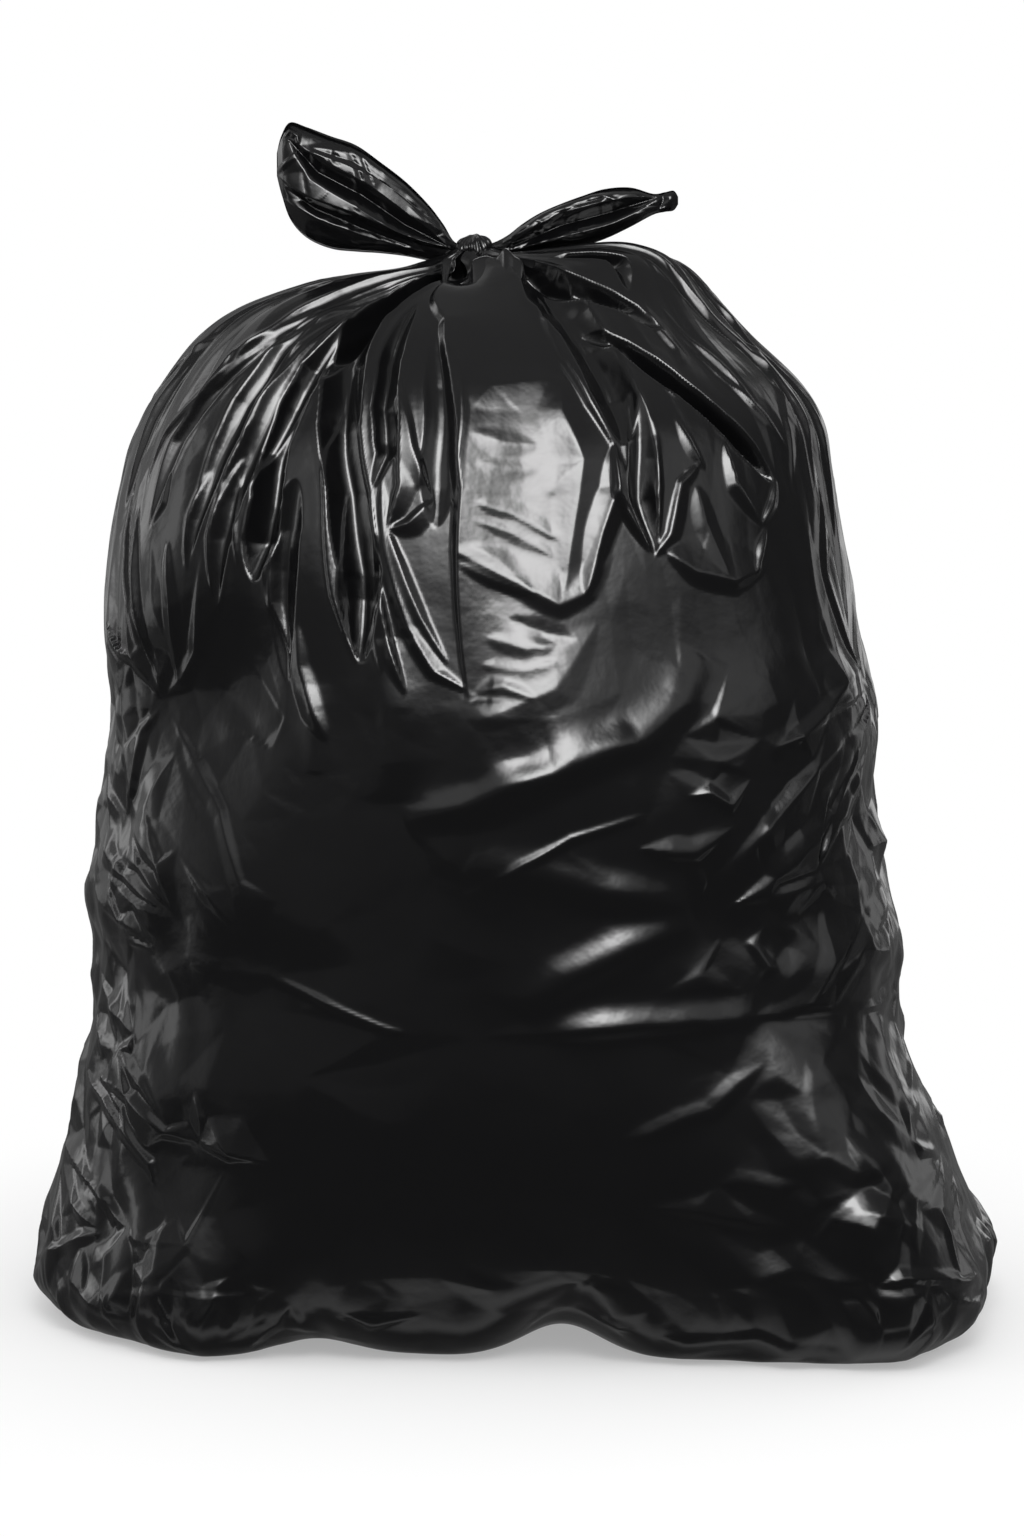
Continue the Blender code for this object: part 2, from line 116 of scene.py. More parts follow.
# Gathers: grooves that the knot draws into the film. Line from the neck down as (bearing, height), half
# width, depth, and the length over which the groove narrows to its tip.
GATHERS = [
    # Left of the front panel.
    ([(232, 690), (226, 655), (218, 620), (213, 585), (211, 529)], 10, 6, 70),
    ([(236, 684), (231, 650), (227, 610), (225, 560), (222, 501)], 9, 6, 80),
    ([(239, 684), (235, 640), (233, 600), (230, 550), (228, 478)], 10, 8, 80),
    ([(247, 692), (246, 670), (239, 639), (237, 614), (236, 581), (237, 548), (236, 495)], 11, 17, 26),
    ([(242, 560), (241, 520), (241, 480), (241, 433)], 11, 8, 70),
    ([(247, 692), (245, 668), (245, 639), (247, 595), (251, 554), (254, 504), (254, 446)], 11, 15, 40),
    ([(256, 672), (254, 635), (254, 607), (256, 577), (255, 555)], 5, 7, 30),
    ([(263, 650), (264, 600), (265, 530)], 8, 5, 26),
    # Right of it.
    ([(283, 692), (290, 670), (293, 650), (293, 615), (293, 582)], 13, 15, 34),
    ([(288, 697), (302, 697), (308, 690), (308, 676)], 8, 11, 18),
    ([(285, 690), (295, 680), (306, 668), (312, 654)], 9, 13, 22),
    ([(294, 660), (300, 648), (306, 622), (314, 593), (322, 558)], 9, 17, 22),
    ([(297, 618), (296, 580), (295, 550), (296, 511)], 8, 8, 34),
    # Round the sides and the back.
    ([(322, 697), (336, 650), (337, 600), (335, 550)], 10, 3.5, 60),
    ([(345, 700), (346, 640), (344, 520)], 13, 5, 90),
    ([(362, 700), (360, 600), (362, 480)], 15, 9, 90),
    ([(380, 700), (379, 600), (382, 540)], 13, 8, 70),
    ([(396, 700), (398, 600), (396, 470)], 16, 12, 90),
    ([(412, 700), (414, 600), (415, 520)], 13, 10, 70),
    ([(430, 700), (431, 600), (428, 430)], 17, 15, 90),
    ([(444, 700), (443, 600), (444, 540)], 13, 10, 60),
    ([(460, 700), (461, 600), (464, 490)], 16, 13, 90),
    ([(476, 700), (478, 600), (477, 440)], 17, 14, 90),
    ([(494, 700), (495, 600), (493, 540)], 13, 10, 60),
    ([(510, 700), (512, 600), (513, 480)], 16, 11, 90),
    ([(528, 700), (529, 600), (531, 550)], 13, 8, 60),
    ([(544, 700), (546, 600), (547, 460)], 14, 6, 90),
    ([(560, 700), (559, 600), (558, 540)], 11, 4, 70),
]
LIP, LIP_WIDTH = 0.55, 3.5  # the raised rim of a gather

# Folds: a line as (bearing, height), how far the film stands out on it (or sinks in), and how wide the slope
# is to the left and to the right of the line, looking along it.
FOLDS = [
    # Long crisp lines that the knot pulls into the film on the left.
    ([(218, 690), (206, 683), (202, 674), (200, 656), (192, 636), (189, 610)], 2, 4, 6),
    ([(230, 685), (229, 673), (224, 656), (217, 639), (214, 616), (208, 589), (206, 558)], 3, 5, 7),
    ([(214, 567), (214, 544), (211, 529)], 2, 4, 4),
    ([(234, 682), (229, 662), (223, 647), (218, 628), (214, 610)], 2, 3, 5),
    ([(236, 678), (231, 643), (230, 623), (229, 597), (230, 577)], 2, 3, 5),
    ([(224, 565), (222, 535), (222, 501)], 3, 8, 4),
    ([(230, 575), (228, 548), (227, 523), (228, 478)], 3.5, 8, 4),
    ([(230, 567), (231, 540), (233, 505)], 2, 3, 4),
    ([(240, 527), (239, 508), (239, 482), (242, 446)], 4, 5, 3),
    ([(244, 468), (244, 442), (246, 414), (248, 396)], 4, 7, 11),
    ([(246, 610), (246, 581), (248, 544), (250, 487), (253, 446)], 3.5, 7, 3),
    ([(250, 556), (251, 525), (252, 484), (253, 446)], 3.5, 3, 3),
    ([(247, 638), (249, 607), (254, 552), (256, 525), (256, 474), (254, 446)], 3, 3, 8),
    ([(198, 640), (196, 600), (197, 540)], 2, 5, 8),
    ([(205, 540), (207, 500), (211, 440)], 3, 8, 6),
    ([(199, 560), (203, 500), (213, 425)], -3, 10, 6),
    ([(217, 520), (218, 480), (217, 430)], 2.5, 8, 8),
    # The long pleat left of the front panel, the flap beside it, and the two bright ridges under the flap.
    ([(254, 692), (264, 660), (266, 601), (268, 552), (268, 495), (268, 426)], 7, 34, 3.5),
    ([(256, 623), (259, 556), (258, 529)], 4, 9, 2.5),
    ([(256, 623), (260, 581), (264, 548)], 3, 2.5, 8),
    ([(264, 548), (261, 533), (258, 529)], 3, 9, 3),
    ([(256, 560), (258, 514), (261, 467), (264, 440), (268, 429)], 4, 8, 5),
    ([(258, 529), (260, 508), (263, 472), (266, 445)], 3, 4, 5),
    ([(257, 496), (258, 463), (260, 427)], 5, 3, 7),
    ([(257, 494), (256, 465), (257, 440)], 2.5, 6, 3),
    # The right gathers, the bright triangle and the soft hem of the drape beside it.
    ([(280, 688), (285, 665), (286, 633), (288, 607), (291, 581)], 4, 22, 3),
    ([(291, 583), (291, 550), (293, 533), (296, 512)], 5, 9, 4),
    ([(291, 581), (291, 554), (288, 525), (285, 487)], 5, 8, 10),
    ([(298, 616), (298, 589), (298, 554), (297, 523)], 3.5, 3, 12),
    ([(303, 600), (305, 580), (307, 566)], 2, 3, 6),
    ([(306, 570), (302, 558), (299, 525), (296, 512)], 2.5, 8, 3),
    ([(298, 514), (303, 501), (310, 495), (317, 503)], 4, 34, 9),
    ([(305, 556), (306, 531), (309, 500)], 2, 9, 10),
    ([(312, 584), (313, 556), (318, 531)], 4, 3, 8),
    ([(323, 560), (321, 545), (318, 531)], 3, 7, 3),
    ([(319, 529), (317, 515), (315, 499)], 2.5, 3, 5),
    ([(311, 668), (311, 656), (312, 643), (310, 633)], 2.5, 8, 4),
    ([(316, 668), (320, 638), (322, 607), (328, 578)], 2, 3, 5),
    ([(316, 649), (318, 628), (323, 600)], 1.6, 3, 4),
    ([(353, 684), (350, 663), (340, 639), (330, 600), (328, 560)], 2.5, 14, 5),
    ([(339, 560), (336, 500), (342, 430)], 3, 12, 8),
    # The front panel: the drape's lower edge, its crumples, and the film that hangs out below it.
    ([(267, 516), (273, 501), (279, 487), (281, 482), (285, 489), (289, 510)], 2.2, 26, 9),
    ([(284, 626), (283, 603), (286, 571), (284, 533), (282, 493)], 3, 16, 13),
    ([(268, 507), (272, 496), (278, 487)], 1.2, 10, 3),
    ([(270, 545), (275, 539), (282, 522)], 0.9, 9, 7),
    ([(270, 534), (275, 527), (281, 512)], 0.7, 7, 6),
    ([(269, 519), (273, 510), (277, 492)], 0.7, 8, 8),
    ([(280, 550), (283, 563), (286, 571)], 0.8, 12, 12),
    ([(269, 589), (274, 582), (279, 581)], 0.8, 9, 9),
    ([(269, 604), (272, 618), (278, 622), (284, 624)], 1.6, 14, 22),
    ([(270, 570), (274, 566), (279, 567)], 0.6, 8, 8),
    ([(274, 474), (279, 465), (283, 461)], -1, 9, 9),
    ([(271, 462), (276, 455), (280, 458)], 1, 9, 9),
    ([(270, 445), (275, 442), (280, 447)], 0.8, 8, 8),
    ([(267, 424), (270, 413), (274, 421), (279, 431), (282, 446), (286, 468)], 1.2, 26, 12),
    ([(269, 428), (272, 432), (276, 424)], 1, 7, 6),
]

# Creases of the lower film, written like the folds. The film hangs in flat facets between these lines.
CREASED = [
    # The belly: one long soft hollow from side to side.
    ([(223, 250), (240, 247), (258, 216), (268, 214)], 1.2, 50, 20),
    ([(268, 214), (277, 217), (288, 221), (304, 222), (325, 220), (347, 218)], 1.5, 16, 8),
    ([(232, 450), (240, 410), (250, 372), (262, 348)], 0.5, 40, 24),
    ([(261, 343), (266, 324), (269, 307)], 1.4, 26, 12),
    # Facets right of the belly, drawn together to held points.
    ([(296, 399), (302, 410), (314, 433)], 2.2, 5, 5),
    ([(294, 386), (302, 382), (310, 396)], 3.5, 12, 4),
    ([(296, 361), (300, 363), (304, 354), (308, 373)], 4, 8, 4),
    ([(288, 331), (294, 326), (298, 325), (305, 343)], 4.5, 13, 4),
    ([(298, 294), (299, 308), (297, 321)], 3, 7, 4),
    ([(299, 290), (308, 331), (322, 376), (348, 424)], 2.6, 7, 5),
    ([(299, 290), (310, 297), (322, 303), (348, 295)], 3, 14, 5),
    ([(302, 290), (312, 309), (322, 331), (326, 361)], 4, 16, 5),
    ([(321, 311), (328, 341), (342, 386)], 3.5, 10, 5),
    ([(312, 389), (318, 395), (326, 410), (349, 429)], 3.5, 9, 4),
    ([(350, 292), (328, 258), (322, 224)], 4, 10, 6),
    ([(302, 277), (296, 250), (290, 240)], 2, 12, 6),
    ([(310, 282), (306, 267), (308, 252), (306, 243)], 2.4, 10, 6),
    ([(290, 238), (298, 243), (304, 238)], 2, 14, 5),
    ([(308, 220), (317, 228), (321, 250), (332, 280)], 3, 14, 5),
    ([(351, 429), (338, 395), (326, 346), (322, 314)], 3, 14, 6),
    # Facets left of the belly.
    ([(194, 467), (206, 444), (213, 416)], 3, 7, 7),
    ([(204, 484), (210, 455), (213, 418)], 2.5, 5, 5),
    ([(214, 421), (218, 431), (223, 459), (230, 484)], 2, 8, 10),
    ([(214, 410), (222, 378), (230, 348), (236, 305), (238, 265)], 1.3, 5, 8),
    ([(214, 416), (225, 406), (238, 389), (251, 363)], 1.2, 22, 24),
    ([(212, 410), (208, 397), (206, 358), (204, 340)], 3, 8, 8),
    ([(204, 337), (196, 352), (190, 378)], 3, 6, 6),
    ([(211, 350), (222, 326)], 1.4, 3, 3),
    ([(206, 335), (218, 311), (223, 281)], 2.5, 8, 4),
    ([(192, 324), (208, 303), (222, 280)], 2.5, 4, 5),
    ([(198, 328), (213, 309), (222, 284)], 2.5, 4, 4),
    ([(202, 303), (213, 286), (222, 277)], 2.5, 4, 5),
    ([(193, 297), (208, 271), (217, 259)], 2.5, 6, 4),
    ([(197, 256), (210, 259), (217, 256)], 3, 9, 4),
    ([(222, 322), (230, 297), (238, 263)], 1.4, 6, 7),
    # The left front corner.
    ([(192, 236), (202, 216), (212, 201)], 3, 5, 9),
    ([(212, 201), (212, 192), (196, 174)], 3, 5, 7),
    ([(192, 207), (200, 194), (202, 180)], 2, 4, 5),
    ([(194, 175), (214, 161), (224, 142), (231, 138)], 3, 5, 5),
    ([(194, 170), (207, 155), (216, 137), (222, 121), (224, 106)], 3.2, 5, 6),
    ([(203, 169), (213, 152), (220, 130)], 2, 4, 4),
    ([(208, 190), (217, 169), (224, 147)], 2.4, 7, 4),
    ([(229, 171), (231, 154), (231, 141)], 2, 4, 10),
    ([(231, 138), (237, 133), (243, 129)], 5, 26, 5),
    ([(190, 118), (206, 102), (215, 77)], 2.5, 4, 5),
    ([(192, 105), (204, 84), (214, 74)], 2.5, 5, 4),
    ([(199, 108), (210, 98), (216, 84), (220, 80)], 2.2, 5, 4),
    ([(188, 78), (198, 69), (196, 48)], 3, 7, 6),
    ([(194, 40), (202, 55), (209, 67), (214, 72)], 2.4, 6, 6),
    ([(217, 75), (224, 73), (232, 75), (229, 90)], 1.4, 5, 6),
    ([(218, 38), (228, 44), (238, 44), (246, 47)], 1.2, 4, 6),
    ([(202, 44), (212, 32), (218, 24), (224, 20)], 2, 6, 6),
    # The right front corner.
    ([(282, 148), (286, 152), (291, 161), (296, 167), (301, 182), (307, 196)], 1.8, 8, 7),
    ([(316, 152), (321, 167)], 1.2, 3, 3),
    ([(293, 119), (296, 121), (301, 116), (306, 121)], 1.8, 11, 4),
    ([(282, 107), (289, 103), (296, 95), (301, 93)], 2.6, 11, 5),
    ([(301, 92), (307, 108), (316, 125), (328, 136)], 1.2, 14, 7),
    ([(303, 82), (308, 98), (321, 115), (338, 119)], 1.2, 8, 6),
    ([(351, 192), (333, 152), (331, 140)], 3, 10, 6),
    ([(331, 138), (332, 131), (339, 124)], 3, 7, 5),
    ([(341, 121), (325, 106), (322, 90), (320, 68)], 2, 8, 8),
    ([(344, 108), (330, 96), (330, 79), (327, 54)], 2.4, 5, 5),
    ([(348, 92), (335, 81), (334, 48)], 2.4, 5, 5),
    ([(310, 57), (316, 62), (326, 51), (336, 39)], 2.6, 8, 5),
    ([(309, 12), (309, 32), (320, 56)], 2.2, 5, 5),
    ([(313, 14), (316, 28), (322, 42), (335, 35)], 2.4, 6, 5),
    # The hem: a crumpled strip along the floor.
    ([(226, 20), (231, 14), (234, 8)], 3, 6, 8),
    ([(237, 12), (244, 12), (248, 26), (247, 42)], 3, 9, 6),
    ([(249, 40), (251, 24), (254, 12)], 3, 5, 9),
    ([(255, 34), (259, 28), (264, 34)], 3, 8, 6),
    ([(270, 6), (273, 28), (276, 26), (279, 22)], 3, 6, 8),
    ([(281, 22), (284, 18), (288, 19), (292, 22), (296, 15), (303, 10), (307, 7)], 3, 6, 12),
    # The back.
    ([(70, 420), (84, 330), (110, 280)], 6, 40, 14),
    ([(120, 440), (112, 340), (92, 250)], -6, 40, 14),
    ([(30, 260), (52, 210), (80, 180)], 6, 40, 14),
    ([(150, 300), (130, 230), (104, 190)], -6, 36, 14),
    ([(60, 120), (90, 96), (122, 110)], 5, 30, 12),
]

# Rolls: smooth ridges. A line, how high the film stands on it, and how wide it falls off to the left and to
# the right of the line. The narrow ones catch the light as thin lines.
ROLLS = [
    ([(260, 348), (268, 357), (274, 370), (280, 382), (289, 395)], 7, 8, 6),
    ([(277, 392), (284, 396), (290, 398), (297, 421), (302, 450)], 3.5, 9, 7),
    ([(268, 322), (277, 312), (284, 303), (290, 299), (297, 298)], 5, 9, 6),
    ([(272, 228), (278, 250), (286, 268), (297, 286)], 6, 9, 6),
    ([(276, 216), (281, 217), (287, 219), (306, 222)], 4, 8, 4),
    ([(258, 460), (258, 410), (258, 360)], 5, 9, 7),
    ([(245, 430), (246, 400), (247, 375)], 2, 6, 6),
    ([(269, 423), (270, 384), (273, 367)], 3.5, 8, 8),
    ([(240, 247), (245, 239), (250, 230), (257, 218), (260, 215)], 1.5, 1.6, 1.6),
    ([(268, 300), (274, 322), (280, 338), (290, 351)], 1.5, 1.7, 1.7),
]

PER_DEGREE = 4.3  # mm along the film for a degree of bearing, where the facets are laid out
FILLERS = 9000  # places that are tried for plain held points between the creases
SMALL_FACETS = 0.7  # height of the layer of half-size facets, as a share of what its points ask for
# Right of the belly the creases are rounder: bearing and height of the middle, reach, and how much rounder.
SOFT_MIDDLE, SOFT_REACH, SOFT_PASSES, SOFT_SHARE = (303, 255), (17, 190), 10, 0.55

# Points that something hard inside holds in or pushes out: bearing, height, depth, reach.
STARS = [
    (215, 418, -9, 60), (352, 434, -9, 55), (206, 338, -6, 40), (224, 279, -5, 40), (298, 290, -5, 50),
    (352, 294, -8, 50), (228, 120, -7, 44), (215, 77, -6, 34), (301, 90, -2, 48), (328, 134, -4, 44),
    (239, 252, -5, 50), (40, 380, -12, 60), (65, 150, 10, 60), (95, 330, -11, 60), (128, 180, -11, 55),
    (150, 400, 9, 55), (172, 250, -9, 50), (20, 240, 9, 50), (108, 90, -9, 45), (170, 90, 9, 45),
]

# Slack film: bearing, height, reach in degrees, reach in mm, and the share of spare length there.
SLACK = [
    (212, 150, 16, 110, 0.020), (206, 330, 16, 90, 0.012), (335, 200, 18, 150, 0.014),
    (320, 420, 14, 80, 0.01), (277, 560, 8, 55, 0.012), (280, 480, 9, 40, 0.010),
    (180, 250, 22, 260, 0.014), (0, 250, 22, 260, 0.014), (135, 300, 22, 260, 0.014),
    (90, 300, 22, 260, 0.014), (45, 300, 22, 260, 0.014), (300, 270, 14, 70, 0.008),
]
SLACK_EVERYWHERE, SLACK_AT_HEM, SLACK_AT_GATHERS = 0.004, 0.03, 0.003
SLACK_UP = 0.5  # spare length up the film, as a share of the spare length round it


def spline(rows, at):
    """The rows of numbers joined by a smooth curve, read at fractional row numbers."""
    rows = np.asarray(rows, float)
    last = len(rows) - 1
    low = np.clip(np.floor(at).astype(int), 0, last - 1)
    share = (at - low)[:, None]
    before, start = rows[np.clip(low - 1, 0, last)], rows[low]
    end, after = rows[low + 1], rows[np.clip(low + 2, 0, last)]
    return 0.5 * (
        2 * start
        + (end - before) * share
        + (2 * before - 5 * start + 4 * end - after) * share**2
        + (3 * start - before - 3 * end + after) * share**3
    )


def sections_by_film_length(share):
    """Plan sections at shares of the film's length, from the middle of the underside up to the neck."""
    edge = np.array(SECTIONS[0], float)
    shrink = np.linspace(UNDERSIDE_START, 1, 200, endpoint=False)[:, None]
    underside = edge * (1, 0, 0, 0, 0, 1) + shrink * edge * (0, 1, 1, 1, 1, 0)
    fine = np.concatenate([underside, spline(SECTIONS, np.linspace(0, len(SECTIONS) - 1, 1500))])
    steps = np.diff(fine[:, :5], axis=0)
    step = np.mean([np.hypot(steps[:, 0], steps[:, side]) for side in (1, 2, 3, 4)], axis=0)
    length = np.concatenate([[0], np.cumsum(step)])
    return np.stack([np.interp(share * length[-1], length, fine[:, i]) for i in range(6)], axis=1)


def grid_normals(grid):
    """Unit vectors out of a grid that is closed along its columns."""
    along = np.roll(grid, -1, axis=1) - np.roll(grid, 1, axis=1)
    out = np.cross(along, np.gradient(grid, axis=0))
    return out / np.maximum(np.linalg.norm(out, axis=-1, keepdims=True), 1e-9)


def bearing_gap(one, other):
    return (one - other + 180) % 360 - 180


def smooth_body(turn, share):
    """The film before it is gathered or creased, with its bearings, sections and radii."""
    sections = sections_by_film_length(share)
    bearing = turn * math.tau
    height, left, right, front, back, square = (sections[:, i][:, None] for i in range(6))
    across, along = np.cos(bearing)[None], np.sin(bearing)[None]
    x = (left + right) / 2 + (right - left) / 2 * np.sign(across) * np.abs(across) ** (2 / square)
    y = (front + back) / 2 + (back - front) / 2 * np.sign(along) * np.abs(along) ** (2 / square)
    grid = np.stack([x, y, np.broadcast_to(height, x.shape)], axis=-1)
    for centre, reach, move, *powers in PULLS:
        far = np.abs((grid - centre) / reach) ** (powers[0] if powers else 2)
        grid = grid + np.exp(-far.sum(axis=-1, keepdims=True) / 2) * np.array(move, float)
    grid[..., 2] = np.maximum(grid[..., 2], 0)
    middle = np.stack([left + right, front + back], axis=-1)[:, 0] / 2
    radius = np.linalg.norm(grid[..., :2] - middle[:, None], axis=-1)
    return grid, np.degrees(bearing)[None], height, radius


def gathers(bearing, height, radius):
    """How far the gathers move the film out of its smooth form. Their rims and their tips are crisp."""
    moved = np.zeros(radius.shape)
    for line, half_width, depth, tip in GATHERS:
        bearings, heights = np.array(line, float).T
        centre = np.interp(height, heights[::-1], bearings[::-1])
        aside = np.radians(np.abs(bearing_gap(bearing, centre))) * radius
        open_above = heights[0] > 680
        ends = np.clip((height - heights[-1]) / tip, 0, 1)
        ends = ends * np.clip((heights[0] - height) / 30 + open_above, 0, 1)
        width = half_width * np.clip(radius / 110, 0.12, 1) * np.maximum(ends, 1e-3) ** 0.5
        full = np.clip(radius / 90, 0.08, 1) * ends**0.8
        moved -= depth * full * (1 - np.minimum(aside / width, 1) ** 1.6)
        moved += LIP * full * np.clip(1 - np.abs(aside - width) / LIP_WIDTH, 0, None)
    return moved


def nearest_on_line(x, z, line):
    """The distance to a line of points, its side there (above 0 on the left), and the share of it passed."""
    nearest, side, passed = np.full(x.shape, 1e9), np.zeros(x.shape), np.zeros(x.shape)
    for i, ((x0, z0), (x1, z1)) in enumerate(zip(line, line[1:])):
        px, pz, dx, dz = x - x0, z - z0, x1 - x0, z1 - z0
        share = np.clip((px * dx + pz * dz) / (dx**2 + dz**2), 0, 1)
        far = np.hypot(px - share * dx, pz - share * dz)
        closer = far < nearest
        nearest = np.where(closer, far, nearest)
        side = np.where(closer, np.sign(dx * pz - dz * px), side)
        passed = np.where(closer, (i + share) / (len(line) - 1), passed)
    return nearest, side, passed


def fold_height(x, z, line, left_width, right_width):
    """A fold along a line, 1 high on its crisp crest. A wide slope is hollow, and its ends are points."""
    nearest, side, passed = nearest_on_line(x, z, line)
    taper = np.sin(math.pi * np.clip(passed, 0.01, 0.99)) ** 0.6
    width = np.where(side > 0, left_width, right_width) * taper
    return taper * np.clip(1 - nearest / width, 0, None) ** np.interp(width, (12, 30), (1.15, 2))


def folds(bearing, height, radius):
    """How far the folds move the film. A fold slopes off on each side of a crisp line."""
    moved = np.zeros(radius.shape)
    for line, stand_out, left_width, right_width in FOLDS:
        bearings, heights = np.array(line, float).T
        widest = max(left_width, right_width)
        above, below = height[:, 0] > heights.min() - widest, height[:, 0] < heights.max() + widest
        rows = np.flatnonzero(above & below)
        middle, spread = bearings.mean(), np.ptp(bearings) / 2 + widest / 2.2
        columns = np.flatnonzero(np.abs(bearing_gap(bearing[0], middle)) < spread)
        near = np.ix_(rows, columns)
        scale = np.radians(1) * radius[near]
        x = bearing_gap(bearing[:, columns], middle) * scale
        points = [((b - middle) * scale, h) for b, h in line]
        moved[near] += stand_out * fold_height(x, height[rows], points, left_width, right_width)
    return moved


def rolls(bearing, height, radius):
    """How far the rolls move the film."""
    moved = np.zeros(radius.shape)
    for line, stand_out, left_width, right_width in ROLLS:
        bearings, heights = np.array(line, float).T
        middle, widest = bearings.mean(), max(left_width, right_width)
        rows = np.flatnonzero(np.abs(height[:, 0] - heights.mean()) < np.ptp(heights) / 2 + 3 * widest)
        columns = np.flatnonzero(np.abs(bearing_gap(bearing[0], middle)) < np.ptp(bearings) / 2 + widest)
        near = np.ix_(rows, columns)
        scale = np.radians(1) * radius[near]
        x = bearing_gap(bearing[:, columns], middle) * scale
        points = [((b - middle) * scale, h) for b, h in line]
        nearest, side, passed = nearest_on_line(x, height[rows], points)
        width = np.where(side > 0, left_width, right_width)
        moved[near] += stand_out * np.sin(math.pi * passed) ** 0.6 * np.exp(-((nearest / width) ** 2) / 2)
    return moved


def filler(at, level):
    """Spacing and stand-out, in mm, of the plain held points near a bearing and a height."""
    aside = abs(bearing_gap(at, 268))
    side = np.interp(bearing_gap(at, 255), (-48, -30, 32, 55), (1, 0, 0, 1))
    low = np.interp(level, (50, 160), (1, 0))
    if level < 62:
        return 17, np.interp(level, (0, 30, 62), (3, 5, 2.5))
    if level > 470:
        return 17, np.interp(aside, (14, 40), (0.15, 1))
    return np.interp(side, (0, 1), (44, 22)), np.interp(side, (0, 1), (1.4 + low, 2.3))


def flattened(level):
    """Heights squeezed at the gathers and at the hem, so that the facets there are tall and narrow."""
    return np.interp(level, (-100, 0, 50, 450, 800), (-50, 0, 25, 425, 425 + 350 * 0.35))


def facet_points(creased, size, seed):
    """Points (bearing, height, stand-out) that the facets meet at, and the creased lines between them."""
    points, lines = [(at, level, 0) for at in range(90, 450, 10) for level in (-40, 760)], []
    for line, stand_out, left_width, right_width in creased:
        first = len(points)
        for i, (at, level) in enumerate(line):
            end = i in (0, len(line) - 1)
            points.append((at, level, stand_out * (0.15 if end else 1)))
        lines += [(i, i + 1) for i in range(first, len(points) - 1)]
        for (b0, z0), (at, level), (b1, z1) in zip(line, line[1:], line[2:]):
            dx, dz = (b1 - b0) * PER_DEGREE, z1 - z0
            long = math.hypot(dx, dz)
            for off in (left_width / long, -right_width / long):
                points.append((at - off * dz / PER_DEGREE, level + off * dx, 0))
    chance = np.random.default_rng(seed)
    taken = np.array([(at * PER_DEGREE, flattened(level)) for at, level, _ in points])
    for _ in range(FILLERS):
        at, level = chance.uniform(90, 450), 705 * chance.uniform(0, 1)
        spacing, stand_out = np.array(filler(at, level)) * size
        place = np.array((at * PER_DEGREE, flattened(level)))
        if np.hypot(*(taken - place).T).min() > spacing:
            taken = np.concatenate([taken, [place]])
            points.append((at, level, stand_out * chance.normal()))
    return points, lines


def facets(bearing, height, radius, creased, size, seed):
    """How far the facets move the film: flat between three points, creased where two facets meet."""
    points, lines = facet_points(creased, size, seed)
    around = [(at + 360, level, far) for at, level, far in points if at < 150]
    around += [(at - 360, level, far) for at, level, far in points if at > 390]
    points += around
    flat = [mathutils.Vector((at * PER_DEGREE, flattened(level))) for at, level, _ in points]
    places, _, faces, origins, _, _ = mathutils.geometry.delaunay_2d_cdt(flat, lines, [], 0, 1e-5)
    places = np.array([tuple(place) for place in places])
    stand_out = [np.mean([points[i][2] for i in origin]) if origin else np.nan for origin in origins]
    stand_out = np.array(stand_out)
    moved = np.zeros(radius.shape)
    u, v = ((bearing[0] - 90) % 360 + 90) * PER_DEGREE, flattened(height[:, 0])
    for face in faces:
        (x0, z0), (x1, z1), (x2, z2) = places[list(face)]
        far = stand_out[list(face)]
        far = np.where(np.isnan(far), np.nanmean(far) if np.isfinite(far).any() else 0, far)
        rows = np.flatnonzero((v >= min(z0, z1, z2)) & (v <= max(z0, z1, z2)))
        columns = np.flatnonzero((u >= min(x0, x1, x2)) & (u <= max(x0, x1, x2)))
        area = (x1 - x0) * (z2 - z0) - (x2 - x0) * (z1 - z0)
        if not len(rows) or not len(columns) or abs(area) < 1e-6:
            continue
        near = np.ix_(rows, columns)
        px, pz = u[columns][None] - x0, v[rows][:, None] - z0
        one = (px * (z2 - z0) - (x2 - x0) * pz) / area
        two = ((x1 - x0) * pz - px * (z1 - z0)) / area
        inside = (one >= -1e-6) & (two >= -1e-6) & (one + two <= 1 + 1e-6)
        flat_height = far[0] + one * (far[1] - far[0]) + two * (far[2] - far[0])
        moved[near] = np.where(inside, flat_height, moved[near])
    return moved


def stars(bearing, height, radius):
    """How far the held points move the film, as shallow cones."""
    moved = np.zeros(radius.shape)
    for at, level, depth, reach in STARS:
        far = np.hypot(np.radians(bearing_gap(bearing, at)) * radius, height - level)
        moved += depth * np.clip(1 - far / reach, 0, None) ** 1.5
    return moved


def slack(bearing, height, radius):
    """Share of spare film length at each point."""
    spare = np.full(radius.shape, SLACK_EVERYWHERE)
    for at, level, degrees, reach, share in SLACK:
        far = (bearing_gap(bearing, at) / degrees) ** 2 + ((height - level) / reach) ** 2
        spare += share * np.exp(-far)
    hem = np.clip(height / 8, 0, 1) * np.clip((80 - height) / 40, 0, 1)
    top = np.clip((height - 480) / 80, 0, 1) * np.clip((706 - height) / 30, 0, 1)
    return (spare + SLACK_AT_HEM * hem) * np.clip(height / 10, 0, 1) * np.clip((700 - height) / 60, 0, 1) + (
        SLACK_AT_GATHERS * top
    )


